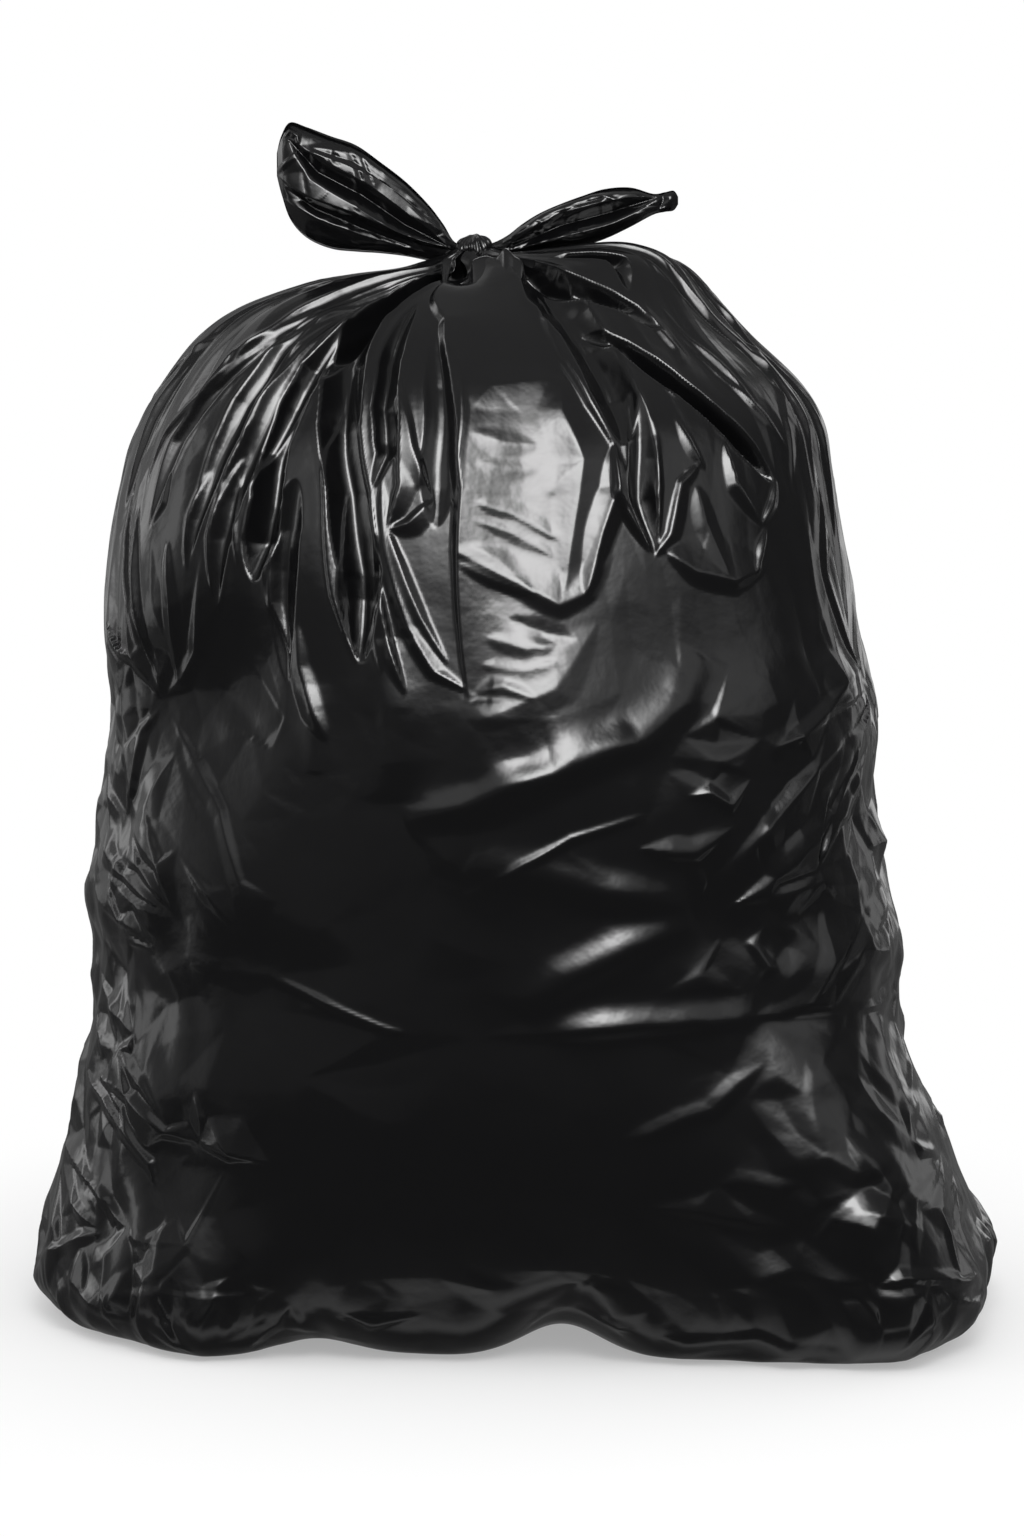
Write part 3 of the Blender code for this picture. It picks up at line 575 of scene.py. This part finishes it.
class Film:
    """A net of film that is closed along its columns. It bends and shears, but hardly stretches."""

    def __init__(self, points, free, shape, spare):
        self.points = points.astype(np.float32)
        self.moved = np.zeros_like(self.points)
        self.free = free.astype(np.float32)
        beside = np.roll(shape, -1, axis=1)
        grown = 1 + spare
        self.across = self.length(shape, beside) * grown
        self.up = self.length(shape[:-1], shape[1:]) * (1 + SLACK_UP * spare[:-1])
        corner = 1 + (1 + SLACK_UP) / 2 * spare[:-1]
        self.rising = self.length(shape[:-1], beside[1:]) * corner
        self.falling = self.length(beside[:-1], shape[1:]) * corner
        self.two_across = self.across + np.roll(self.across, -1, axis=1)
        self.two_up = self.up[:-1] + self.up[1:]

    @staticmethod
    def length(a, b):
        return np.linalg.norm(a - b, axis=-1).astype(np.float32)

    def pull(self, a, b, rest, firmness):
        """Moves the points of a and b towards their rest length from each other."""
        ends, weights = (self.points[a], self.points[b]), (self.free[a], self.free[b])
        apart = ends[1] - ends[0]
        length = np.sqrt((apart * apart).sum(axis=-1)) + 1e-9
        share = firmness * (length - rest) / length / np.maximum(weights[0] + weights[1], 1e-6)
        apart *= share[..., None]
        self.points[a] = ends[0] + apart * weights[0][..., None]
        self.points[b] = ends[1] - apart * weights[1][..., None]

    def step(self, bend, damp, goal, target, swell):
        before = self.points.copy()
        rows, columns = self.free.shape
        self.points += self.moved * (damp * self.free[..., None])
        self.points += grid_normals(self.points).astype(np.float32) * (swell * self.free[..., None])
        self.points += (target - self.points) * (goal * self.free)[..., None]
        for first in (0, 2):
            i = np.concatenate([np.arange(first, columns, 4), np.arange(first + 1, columns, 4)])
            self.pull(np.s_[:, i], np.s_[:, (i + 2) % columns], self.two_across[:, i], bend)
            j = np.concatenate([np.arange(first, rows - 2, 4), np.arange(first + 1, rows - 2, 4)])
            self.pull(np.s_[j], np.s_[j + 2], self.two_up[j], bend)
        ring = np.arange(columns)
        for first in (0, 1):
            j = np.arange(first, rows - 1, 2)
            here, beyond = np.ix_(j, ring), np.ix_(j + 1, (ring + 1) % columns)
            self.pull(here, beyond, self.rising[j], 0.6)
            here, beyond = np.ix_(j, (ring + 1) % columns), np.ix_(j + 1, ring)
            self.pull(here, beyond, self.falling[j], 0.6)
        for first in (0, 1):
            i = np.arange(first, columns, 2)
            self.pull(np.s_[:, i], np.s_[:, (i + 1) % columns], self.across[:, i], 1)
            j = np.arange(first, rows - 1, 2)
            self.pull(np.s_[j], np.s_[j + 1], self.up[j], 1)
        np.maximum(self.points[..., 2], 0, out=self.points[..., 2])
        self.moved = self.points - before


def halved(grid):
    """The same net with twice as many columns and rows, on smooth curves through its points."""
    beside, before, after = np.roll(grid, -1, 1), np.roll(grid, 1, 1), np.roll(grid, -2, 1)
    wide = np.empty((grid.shape[0], 2 * grid.shape[1], grid.shape[2]))
    wide[:, 0::2], wide[:, 1::2] = grid, (9 * (grid + beside) - before - after) / 16
    tall = np.empty((2 * wide.shape[0] - 1, *wide.shape[1:]))
    ends = np.concatenate([2 * wide[:1] - wide[1:2], wide, 2 * wide[-1:] - wide[-2:-1]])
    tall[0::2] = wide
    tall[1::2] = (9 * (ends[1:-2] + ends[2:-1]) - ends[:-3] - ends[3:]) / 16
    return tall


def uneven(shape, seed):
    """Smooth random numbers, about four points from crest to crest."""
    noise = np.random.default_rng(seed).normal(size=(2 * shape[0], shape[1]))
    spectrum = np.fft.rfft2(noise)
    rough = np.fft.fftfreq(2 * shape[0])[:, None] ** 2 + np.fft.rfftfreq(shape[1])[None] ** 2
    smooth = np.fft.irfft2(spectrum * np.exp(-30 * rough), s=noise.shape)[: shape[0]]
    return smooth / smooth.std()


def at_places(grid, turn, share):
    """A coarse net read on smooth curves at turns round the sack and at shares of the film's length."""
    rows, columns = grid.shape[:2]

    def weights(place):
        low = np.floor(place).astype(int)
        t = place - low
        return low, (
            0.5 * (-t + 2 * t**2 - t**3), 0.5 * (2 - 5 * t**2 + 3 * t**3), 0.5 * (t + 4 * t**2 - 3 * t**3),
            0.5 * (-(t**2) + t**3))

    low, parts = weights(turn * columns)
    wide = sum(grid[:, (low + k - 1) % columns] * part[None, :, None] for k, part in enumerate(parts))
    low, parts = weights(share * (rows - 1))
    return sum(wide[np.clip(low + k - 1, 0, rows - 1)] * part[:, None, None] for k, part in enumerate(parts))


def smoothed(net, passes):
    """A net of numbers, closed along its columns, averaged with its neighbours again and again."""
    for _ in range(passes):
        net = (2 * net + np.roll(net, 1, 1) + np.roll(net, -1, 1)) / 4
        padded = np.concatenate([net[:1], net, net[-1:]])
        net = (padded[:-2] + 2 * net + padded[2:]) / 4
    return net


def settled_film():
    """How the film settles over the contents: its moves from the designed form, coarse net first."""
    settled, shape = None, None
    for level in range(LEVELS):
        columns, rows = AROUND * 2**level, (ALONG - 1) * 2**level + 1
        grid, bearing, height, radius = smooth_body(np.arange(columns) / columns, np.linspace(0, 1, rows))
        out = grid_normals(grid)
        on_floor = np.clip(height / 25, 0, 1)
        moved = (gathers(bearing, height, radius) + folds(bearing, height, radius)) * on_floor
        before, shape = shape, (grid + out * moved[..., None]) * MM
        target = shape + out * (stars(bearing, height, radius) * on_floor)[..., None] * MM
        target[..., 2] = np.maximum(target[..., 2], 0)
        start = target if settled is None else shape + halved(settled - before)
        start = start + out * (uneven(radius.shape, level) * on_floor * SEED_WAVES[level])[..., None] * MM
        free = np.broadcast_to(np.clip(height / 4, 0, 1) * np.clip((708 - height) / 8, 0, 1), radius.shape)
        start = np.where(free[..., None] > 0, start, shape)
        film = Film(start, free, shape.astype(np.float32), slack(bearing, height, radius).astype(np.float32))
        target = target.astype(np.float32)
        goal = (GOAL + GOAL_AT_GATHERS * np.clip((height - 430) / 90, 0, 1)).astype(np.float32)
        for _ in range(STEPS[level]):
            film.step(np.float32(BEND[level]), np.float32(DAMP), goal, target, np.float32(SWELL))
        settled = film.points.astype(float)
    return smoothed(settled - shape, SMOOTHINGS)


def film_body():
    """The finished film in metres, with its bearings and heights. The net is finest at the front."""
    columns, rows = ((FINE_AROUND, FINE_ALONG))
    turn = np.arange(columns) / columns
    turn = turn - CLOSER_AT_FRONT / math.tau * np.sin(math.tau * (turn - 0.75))
    share = np.interp(np.linspace(0, 1, rows), (0, UNDERSIDE_ROWS, 1), (0, UNDERSIDE_SHARE, 1))
    grid, bearing, height, radius = smooth_body(turn, share)
    form = bearing, height, radius
    on_floor = np.clip(height / 25, 0, 1)
    near_knot = np.clip((706 - height) / 14, 0, 1)
    flats = facets(*form, CREASED, size=1, seed=4) + facets(*form, [], size=0.5, seed=5) * SMALL_FACETS
    aside = bearing_gap(bearing, SOFT_MIDDLE[0]) / SOFT_REACH[0]
    above = (height - SOFT_MIDDLE[1]) / SOFT_REACH[1]
    soft_share = SOFT_SHARE * np.exp(-(aside**4) - above**4)
    flats = flats + (smoothed(flats, SOFT_PASSES) - flats) * soft_share
    moved = (gathers(*form) + folds(*form) + rolls(*form)) * on_floor
    moved += flats * near_knot * np.clip(height / 12, 0, 1)
    body = (grid + grid_normals(grid) * moved[..., None]) * MM + at_places(settled_film(), turn, share)
    body[..., 2] = np.maximum(body[..., 2], 0)
    return body, bearing[0], height[:, 0]


def tube_mesh(name, grid):
    """A closed mesh object from rings of points, the first ring the lower or inner one."""
    rows, columns = grid.shape[:2]
    index = np.arange(rows * columns).reshape(rows, columns)
    beside = np.roll(index, -1, axis=1)
    sides = np.stack([index[:-1], beside[:-1], beside[1:], index[1:]], axis=-1).reshape(-1, 4)
    faces = sides.tolist() + [index[0][::-1].tolist(), index[-1].tolist()]
    mesh = bpy.data.meshes.new(name)
    mesh.from_pydata(grid.reshape(-1, 3).tolist(), [], faces)
    mesh.shade_smooth()
    piece = bpy.data.objects.new(name, mesh)
    bpy.context.scene.collection.objects.link(piece)
    return piece


def linear(hex_colour):
    """An sRGB hex colour as the linear values that a shader takes."""
    srgb = [int(hex_colour[i : i + 2], 16) / 255 for i in (1, 3, 5)]
    return (*(c / 12.92 if c <= 0.04045 else ((c + 0.055) / 1.055) ** 2.4 for c in srgb), 1)


def add_node(material, kind, links=(), **settings):
    """Adds a shader node, sets its inputs or properties, and links inputs to other nodes' outputs."""
    made = material.node_tree.nodes.new(kind)
    for key, value in settings.items():
        if hasattr(made, key):
            setattr(made, key, value)
        else:
            made.inputs[key.replace("_", " ")].default_value = value
    for socket, source in dict(links).items():
        material.node_tree.links.new(source, made.inputs[socket])
    return made


def blown_polythene():
    """Black low-density polythene: a deep black, wet-looking gloss, with fine waviness from the blowing."""
    film = bpy.data.materials.new("blown_low_density_polythene_film")
    film.use_nodes = True
    surface = film.node_tree.nodes["Principled BSDF"]
    surface.inputs["Base Color"].default_value = linear("#0b0b0c")
    surface.inputs["Roughness"].default_value = 0.17
    surface.inputs["IOR"].default_value = 1.51
    place = add_node(film, "ShaderNodeTexCoord").outputs["Object"]
    wave = add_node(film, "ShaderNodeTexNoise", {"Vector": place}, Scale=45.0, Detail=3.0, Roughness=0.5)
    bump = add_node(film, "ShaderNodeBump", {"Height": wave.outputs["Fac"]}, Strength=0.25, Distance=0.002)
    film.node_tree.links.new(bump.outputs["Normal"], surface.inputs["Normal"])
    return film


body_grid, body_bearings, body_heights = film_body()
middle = np.array([-0.0006, -0.0046, 0.0])  # the point of these sections that the part's origin lies on, in m
body = tube_mesh("film_body", body_grid - middle)
polythene = blown_polythene()
body.data.materials.append(polythene)
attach(body, "root")
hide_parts("bin_bag")


# ------------------------------------------------------------------------------
# The ears. The sack's two top corners, twisted to cords at the knot, fan out again as flat, pleated film.
# Lengths in mm, from the knot to the tip of the ear: x, lowest z, highest z, y of the middle, thickness.
# ------------------------------------------------------------------------------
LEFT_EAR = [
    (-27, 705, 714, -5, 10), (-40, 702, 716, -5, 13), (-48, 702, 728, -5, 16), (-58, 704, 741, -5, 20),
    (-73, 707, 756, -5, 25), (-90, 709, 769, -6, 30), (-106, 710, 780, -7, 33), (-123, 712, 786, -7, 34),
    (-139, 719, 792, -7, 30), (-150, 731, 795, -6, 22), (-156, 748, 786, -5, 13), (-159, 760, 775, -4, 6),
]
RIGHT_EAR = [
    (-28, 705, 713, -3, 10), (-15, 707, 716, -2, 11), (-5, 708, 721, -2, 13), (4, 709, 728, -1, 17),
    (15, 710, 735, 0, 20), (28, 712, 741, 2, 24), (44, 714, 747, 4, 27), (60, 719, 752, 6, 27),
    (77, 727, 753, 7, 24), (92, 735, 749, 8, 17), (100, 737, 750, 8, 14), (106, 738, 751, 8, 11),
    (109, 742, 747, 8, 5),
]
# Pleats of an ear: a line as (x, z), how far the film stands out to the front on it, and how wide the slope
# is to the left and to the right of the line, looking along it.
LEFT_PLEATS = [
    ([(-41, 711), (-61, 716), (-78, 722), (-106, 734), (-140, 746), (-156, 758)], 5, 3, 26),
    ([(-47, 714), (-74, 728), (-102, 747), (-131, 762), (-150, 783)], -9, 9, 8),
    ([(-41, 716), (-69, 740), (-88, 756), (-116, 768), (-145, 778)], 4.5, 9, 14),
    ([(-53, 728), (-78, 748), (-106, 768), (-133, 777)], -4, 10, 6),
    ([(-60, 709), (-98, 719), (-131, 731), (-154, 744)], 4, 8, 8),
    ([(-69, 713), (-102, 725), (-133, 738), (-153, 752)], -5, 8, 5),
    ([(-80, 709), (-108, 713), (-135, 722)], 3, 6, 7),
    ([(-153, 786), (-150, 789), (-145, 786), (-144, 779)], 4, 3, 3),
    ([(-75, 752), (-100, 774), (-125, 784)], 2, 5, 5),
]
RIGHT_PLEATS = [
    ([(-8, 716), (20, 736), (47, 747), (82, 749)], 6, 6, 12),
    ([(-6, 712), (31, 728), (61, 736), (94, 746)], -9, 8, 9),
    ([(6, 713), (41, 722), (72, 730), (101, 740)], 5, 8, 6),
    ([(18, 724), (40, 741), (60, 746)], -3, 6, 5),
    ([(96, 738), (99, 745), (98, 750)], -3, 4, 4),
    ([(-12, 718), (-4, 725), (8, 727)], 3, 3, 4),
    ([(30, 716), (55, 719), (76, 728)], 2, 5, 5),
]
EAR_COLUMNS, EAR_ROWS, EAR_CRINKLES = 260, 150, 70


def crease_height(px, pz, direction, length, width):
    """A straight crease, lens-shaped, 1 high on its sharp crest. It slopes off wider on one side."""
    way = math.radians(direction)
    along = 2 * (px * math.cos(way) + pz * math.sin(way)) / length
    aside = (pz * math.cos(way) - px * math.sin(way)) / width
    lens = np.clip(1 - along**2, 0, None) ** 0.8
    aside = np.where(aside > 0, aside, -2 * aside) / np.maximum(lens, 1e-3)
    return lens * np.clip(1 - aside, 0, None)


def ear(name, stations, pleats, lean, seed):
    """An ear. Its front has the listed pleats and crinkles; its back has the same pleats pushed through."""
    x, low, high, y, thick = np.hsplit(spline(stations, np.linspace(0, len(stations) - 1, EAR_ROWS)), 5)
    half = np.linspace(0, 1, EAR_COLUMNS // 2, endpoint=False)
    share = np.concatenate([half, 1 - half])[None]
    side = np.repeat([1, -1], EAR_COLUMNS // 2)[None]
    x, z = np.broadcast_to(x, (EAR_ROWS, EAR_COLUMNS)), low + (high - low) * share
    relief = sum(stand_out * fold_height(x, z, line, *widths) for line, stand_out, *widths in pleats)
    chance = np.random.default_rng(seed)
    for _ in range(EAR_CRINKLES):
        at = chance.uniform(x.min(), x.max()), chance.uniform(z.min(), z.max())
        direction = lean + chance.choice((0, 60, -50)) + chance.uniform(-15, 15)
        sizes = chance.uniform(8, 34), chance.uniform(2, 5.5)
        sign = chance.choice((1, -1)) * chance.uniform(0.3, 1.1)
        relief += sign * crease_height(x - at[0], z - at[1], direction, *sizes)
    edge = np.clip(4 * share * (1 - share), 0, 1)
    swell = thick * (0.5 * edge**0.6 - 0.12)
    forward = side * swell * (0.6 + 0.4 * (side > 0)) + relief * (0.75 + 0.25 * side) * edge**0.35
    narrow = np.clip(np.linspace(0, 6, EAR_ROWS), 0.25, 1) * np.clip(np.linspace(9, 0, EAR_ROWS), 0.3, 1)
    grid = np.stack([x, y - forward * narrow[:, None], z], -1) * MM
    if x[-1, 0] > x[0, 0]:
        grid = grid[:, ::-1]
    piece = tube_mesh(name, grid - middle)
    piece.data.materials.append(polythene)
    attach(piece, "root")
    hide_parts("bin_bag")
    return piece


ear("left_ear", LEFT_EAR, LEFT_PLEATS, lean=150, seed=2)
ear("right_ear", RIGHT_EAR, RIGHT_PLEATS, lean=22, seed=3)


# ------------------------------------------------------------------------------
# The knot. The corners of the sack are tied over each other once and pulled tight, into a hard lump of film
# with fine creases that run over it from front to back.
# ------------------------------------------------------------------------------
KNOT_MIDDLE, KNOT_RADII = np.array([-27, -7, 711]), np.array([12, 16, 10])
KNOT_COLUMNS, KNOT_ROWS, KNOT_CREASES = 220, 120, 21

turn = np.arange(KNOT_COLUMNS)[None] * math.tau / KNOT_COLUMNS
rise = np.linspace(-0.49, 0.49, KNOT_ROWS)[:, None] * math.pi
fine = 1 - np.abs(np.sin(KNOT_CREASES * turn / 2 + 1.2 * rise + 0.8 * np.sin(3 * turn)))
swirl = 1 + 0.1 * (fine - 0.4) * np.cos(rise)
swirl = swirl + 0.05 * np.sin(2 * turn + 3 * rise) + 0.03 * np.sin(5 * turn - 4 * rise)
ball = np.stack([np.cos(turn) * np.cos(rise), np.sin(turn) * np.cos(rise), np.sin(rise) + 0 * turn], -1)
knot = tube_mesh("knot", (KNOT_MIDDLE + KNOT_RADII * ball * swirl[..., None]) * MM - middle)
knot.data.materials.append(polythene)
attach(knot, "root")
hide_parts("bin_bag")


# ------------------------------------------------------------------------------
# The cut edge of the sack's mouth. In front of the knot the front panel ends in a free edge: it stands up to
# a small peak on the right, dips in the middle, and curls forward into a little cup on the left.
# ------------------------------------------------------------------------------
# The free edge from left to right as x, y, z in mm, with the x and height where its film leaves the body.
MOUTH_EDGE = [
    (-42, -28, 705, -45, 690), (-48, -32, 703, -47, 686), (-48, -38, 695, -47, 682),
    (-44, -44, 689, -44, 679), (-37, -47, 687, -39, 678), (-31, -44, 691, -33, 678),
    (-29, -38, 697, -29, 678), (-28, -33, 703, -26, 678), (-20, -32, 706, -19, 678),
    (-13, -33, 705, -12, 678), (-7, -34, 711, -6, 677), (-1, -35, 706, -1, 676),
    (4, -37, 702, 2, 674), (6, -45, 692, 4, 670), (9, -52, 684, 7, 667),
    (13, -57, 679, 10, 663), (18, -61, 674, 14, 659), (22, -68, 666, 18, 655),
]
EDGE_COLUMNS, EDGE_ROWS, EDGE_FLARE, FILM_EDGE = 240, 40, 2.2, 0.4


def body_point(x, height):
    """The place on the front of the settled body at an x and at a height of its sections."""
    row = body_grid[np.argmin(np.abs(body_heights - height))] / MM
    front = np.abs(bearing_gap(body_bearings, 270)) < 90
    return row[front][np.argmin(np.abs(row[front, 0] - x))]


edge = spline(MOUTH_EDGE, np.linspace(0, len(MOUTH_EDGE) - 1, EDGE_COLUMNS))
foot = np.array([body_point(x, height) for x, height in edge[:, 3:]]) + (0, 1.5, -1)
climb = 1 - np.linspace(1, 0, EDGE_ROWS)[:, None, None] ** 1.6
knee = edge[:, :3] - (0, 0, EDGE_FLARE)
sheet = (1 - climb) ** 2 * foot + 2 * climb * (1 - climb) * knee + climb**2 * edge[:, :3]
index = np.arange(EDGE_ROWS * EDGE_COLUMNS).reshape(EDGE_ROWS, EDGE_COLUMNS)
quads = np.stack([index[:-1, :-1], index[:-1, 1:], index[1:, 1:], index[1:, :-1]], -1).reshape(-1, 4)
mesh = bpy.data.meshes.new("mouth_edge")
mesh.from_pydata((sheet.reshape(-1, 3) * MM - middle).tolist(), [], quads.tolist())
mouth = bpy.data.objects.new("mouth_edge", mesh)
bpy.context.scene.collection.objects.link(mouth)
bpy.ops.object.select_all(action="DESELECT")
mouth.select_set(True)
bpy.context.view_layer.objects.active = mouth
thickness = mouth.modifiers.new("film_thickness", "SOLIDIFY")
thickness.thickness, thickness.offset = FILM_EDGE * MM, -1
bpy.ops.object.modifier_apply(modifier=thickness.name)
mouth.data.shade_smooth()
mouth.data.materials.append(polythene)
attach(mouth, "root")
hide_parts("bin_bag")


# ------------------------------------------------------------------------------
# The studio: a white floor that runs into a white background, a large soft lamp above the front and a tall
# one at each side. What the glossy film mirrors is set apart from what lights it: a mostly dark room with
# soft boxes, and a floor that is dark but for a lit strip close in front of the sack.
# ------------------------------------------------------------------------------
CAMERA_FAR, CAMERA_RISE, LOOK_AT = 2.6, math.radians(5), mathutils.Vector((-0.0017, 0, 0.364))
SENSOR_HEIGHT, LENS = 36, 90.234375  # mm

bpy.ops.object.select_all(action="DESELECT")
bpy.ops.mesh.primitive_plane_add(size=14)
floor = bpy.context.object
floor.name = "studio_floor"
paper = bpy.data.materials.new("white_paper_sweep")
paper.use_nodes = True
paper.node_tree.nodes.clear()
ray = add_node(paper, "ShaderNodeLightPath")
matt = add_node(paper, "ShaderNodeBsdfDiffuse", Color=linear("#f4f4f4"))
glow = add_node(paper, "ShaderNodeEmission", Color=(1, 1, 1, 1), Strength=1.0)
place = add_node(paper, "ShaderNodeTexCoord").outputs["Object"]
from_middle = add_node(paper, "ShaderNodeVectorMath", {0: place}, operation="LENGTH").outputs["Value"]
away = add_node(paper, "ShaderNodeMapRange", {"Value": from_middle}, interpolation_type="SMOOTHSTEP",
                From_Min=0.35, From_Max=0.75, To_Min=0.35, To_Max=1.0)
seen = add_node(paper, "ShaderNodeMixShader", {
    "Fac": away.outputs[0], 1: matt.outputs[0], 2: glow.outputs[0]})
sides = add_node(paper, "ShaderNodeSeparateXYZ", {0: place})
front = add_node(paper, "ShaderNodeMapRange", {"Value": sides.outputs["Y"]}, interpolation_type="SMOOTHSTEP",
                 From_Min=-0.5, From_Max=-0.1, To_Min=0.07, To_Max=0.14)
near = add_node(paper, "ShaderNodeMapRange", {"Value": sides.outputs["Y"]}, interpolation_type="SMOOTHSTEP",
                From_Min=-0.255, From_Max=-0.215, To_Min=0, To_Max=0.6)
lit = add_node(paper, "ShaderNodeMapRange", {"Value": sides.outputs["Y"], "To Min": near.outputs[0]},
               interpolation_type="SMOOTHSTEP", From_Min=-0.215, From_Max=-0.195, To_Max=0)
floor_level = add_node(paper, "ShaderNodeMath", {0: front.outputs[0], 1: lit.outputs[0]}, operation="ADD")
grey = add_node(paper, "ShaderNodeCombineColor", {i: floor_level.outputs[0] for i in (0, 1, 2)})
mirrored_floor = add_node(paper, "ShaderNodeEmission", {"Color": grey.outputs[0]}, Strength=1.0)
unseen = add_node(paper, "ShaderNodeMixShader", {
    "Fac": ray.outputs["Is Glossy Ray"], 1: matt.outputs[0], 2: mirrored_floor.outputs[0]})
shade = add_node(paper, "ShaderNodeMixShader", {
    "Fac": ray.outputs["Is Camera Ray"], 1: unseen.outputs[0], 2: seen.outputs[0]})
add_node(paper, "ShaderNodeOutputMaterial", {"Surface": shade.outputs[0]})
floor.data.materials.append(paper)

world = bpy.data.worlds.new("studio")
bpy.context.scene.world = world
world.use_nodes = True
world.node_tree.nodes.clear()
ray = add_node(world, "ShaderNodeLightPath")
way = add_node(world, "ShaderNodeTexCoord").outputs["Generated"]
split = add_node(world, "ShaderNodeSeparateXYZ", {0: way})

back_left = add_node(world, "ShaderNodeVectorMath", {0: way}, operation="DOT_PRODUCT")
back_left.inputs[1].default_value = (-0.9, 1, 0)
room = []
for source, start, end, first, last in (
    (split.outputs["Z"], 0.25, 0.95, 0.09, 0.27),
    (back_left.outputs["Value"], 0.0, 1.1, 0, 0.4),
    (split.outputs["X"], -0.7, -0.1, 0.06, 0),
):
    ramp = add_node(world, "ShaderNodeMapRange", {"Value": source}, interpolation_type="SMOOTHSTEP",
                    From_Min=start, From_Max=end, To_Min=first, To_Max=last)
    room.append(ramp.outputs[0])
overhead, behind, on_left = room
brighter = add_node(world, "ShaderNodeMath", {0: overhead, 1: behind}, operation="MAXIMUM").outputs[0]
mirrored = add_node(world, "ShaderNodeMath", {0: brighter, 1: on_left}, operation="ADD").outputs[0]

# Soft boxes that the film mirrors, in degrees from the sack: lowest and highest, furthest left and right of
# straight in front, half the width of their soft edges; and the strength.
MIRRORED_BOXES = [
    (34, 55, -25, 30, 13, 9.5),
    (20, 42, -66, 72, 9, 0.65),
    (2, 50, -124, -112, 5, 2.0),
    (2, 50, 124, 134, 5, 0.25),
    (-4, 40, 150, 160, 5, 1.0),
]
minus_y = add_node(world, "ShaderNodeMath", {0: split.outputs["Y"]}, operation="MULTIPLY")
minus_y.inputs[1].default_value = -1
turned = add_node(world, "ShaderNodeMath", {0: split.outputs["X"], 1: minus_y.outputs[0]},
                  operation="ARCTAN2")
risen = add_node(world, "ShaderNodeMath", {0: split.outputs["Z"]}, operation="ARCSINE")
for low, high, left, right, soft, strength in MIRRORED_BOXES:
    ramps = []
    for angle, edge, first, last in (
        (risen, low, 0, strength), (risen, high, 1, 0), (turned, left, 0, 1), (turned, right, 1, 0),
    ):
        ramp = add_node(world, "ShaderNodeMapRange", {"Value": angle.outputs[0]},
                        interpolation_type="SMOOTHSTEP", From_Min=math.radians(edge - soft),
                        From_Max=math.radians(edge + soft), To_Min=first, To_Max=last)
        ramps.append(ramp.outputs[0])
    glow = ramps[0]
    for ramp in ramps[1:]:
        glow = add_node(world, "ShaderNodeMath", {0: glow, 1: ramp}, operation="MULTIPLY").outputs[0]
    mirrored = add_node(world, "ShaderNodeMath", {0: mirrored, 1: glow}, operation="ADD").outputs[0]
level = add_node(world, "ShaderNodeMix", {
    "Factor": ray.outputs["Is Glossy Ray"], "B": mirrored}, data_type="FLOAT", A=0.95)
shown = add_node(world, "ShaderNodeMix", {
    "Factor": ray.outputs["Is Camera Ray"], "A": level.outputs[0]}, data_type="FLOAT", B=1.0)
sky = add_node(world, "ShaderNodeBackground", {"Strength": shown.outputs[0]}, Color=(1, 1, 1, 1))
add_node(world, "ShaderNodeOutputWorld", {"Surface": sky.outputs[0]})


def soft_lamp(name, place, aim, width, height, power):
    lamp = bpy.data.lights.new(name, "AREA")
    lamp.shape, lamp.size, lamp.size_y, lamp.energy = "RECTANGLE", width, height, power
    stand = bpy.data.objects.new(name, lamp)
    bpy.context.scene.collection.objects.link(stand)
    stand.location = place
    way_down = mathutils.Vector(aim) - mathutils.Vector(place)
    stand.rotation_euler = way_down.to_track_quat("-Z", "Y").to_euler()


soft_lamp("front_softbox", (0.2, -1.9, 2.0), (0, 0, 0.4), 1.0, 1.0, 22)
soft_lamp("left_strip", (-2.2, 0.1, 0.9), (0, 0, 0.4), 0.4, 1.8, 2.5)
soft_lamp("right_strip", (1.6, 1.2, 0.9), (0, 0, 0.4), 0.4, 1.8, 1.2)

camera = bpy.data.objects.new("camera", bpy.data.cameras.new("camera"))
bpy.context.scene.collection.objects.link(camera)
camera.data.sensor_fit, camera.data.sensor_height = "VERTICAL", SENSOR_HEIGHT
camera.data.lens = LENS
back_and_up = mathutils.Vector((0, -math.cos(CAMERA_RISE), math.sin(CAMERA_RISE)))
camera.location = LOOK_AT + CAMERA_FAR * back_and_up
camera.rotation_euler = (math.pi / 2 - CAMERA_RISE, 0, 0)
bpy.context.scene.camera = camera
bpy.context.scene.view_settings.view_transform = "Standard"
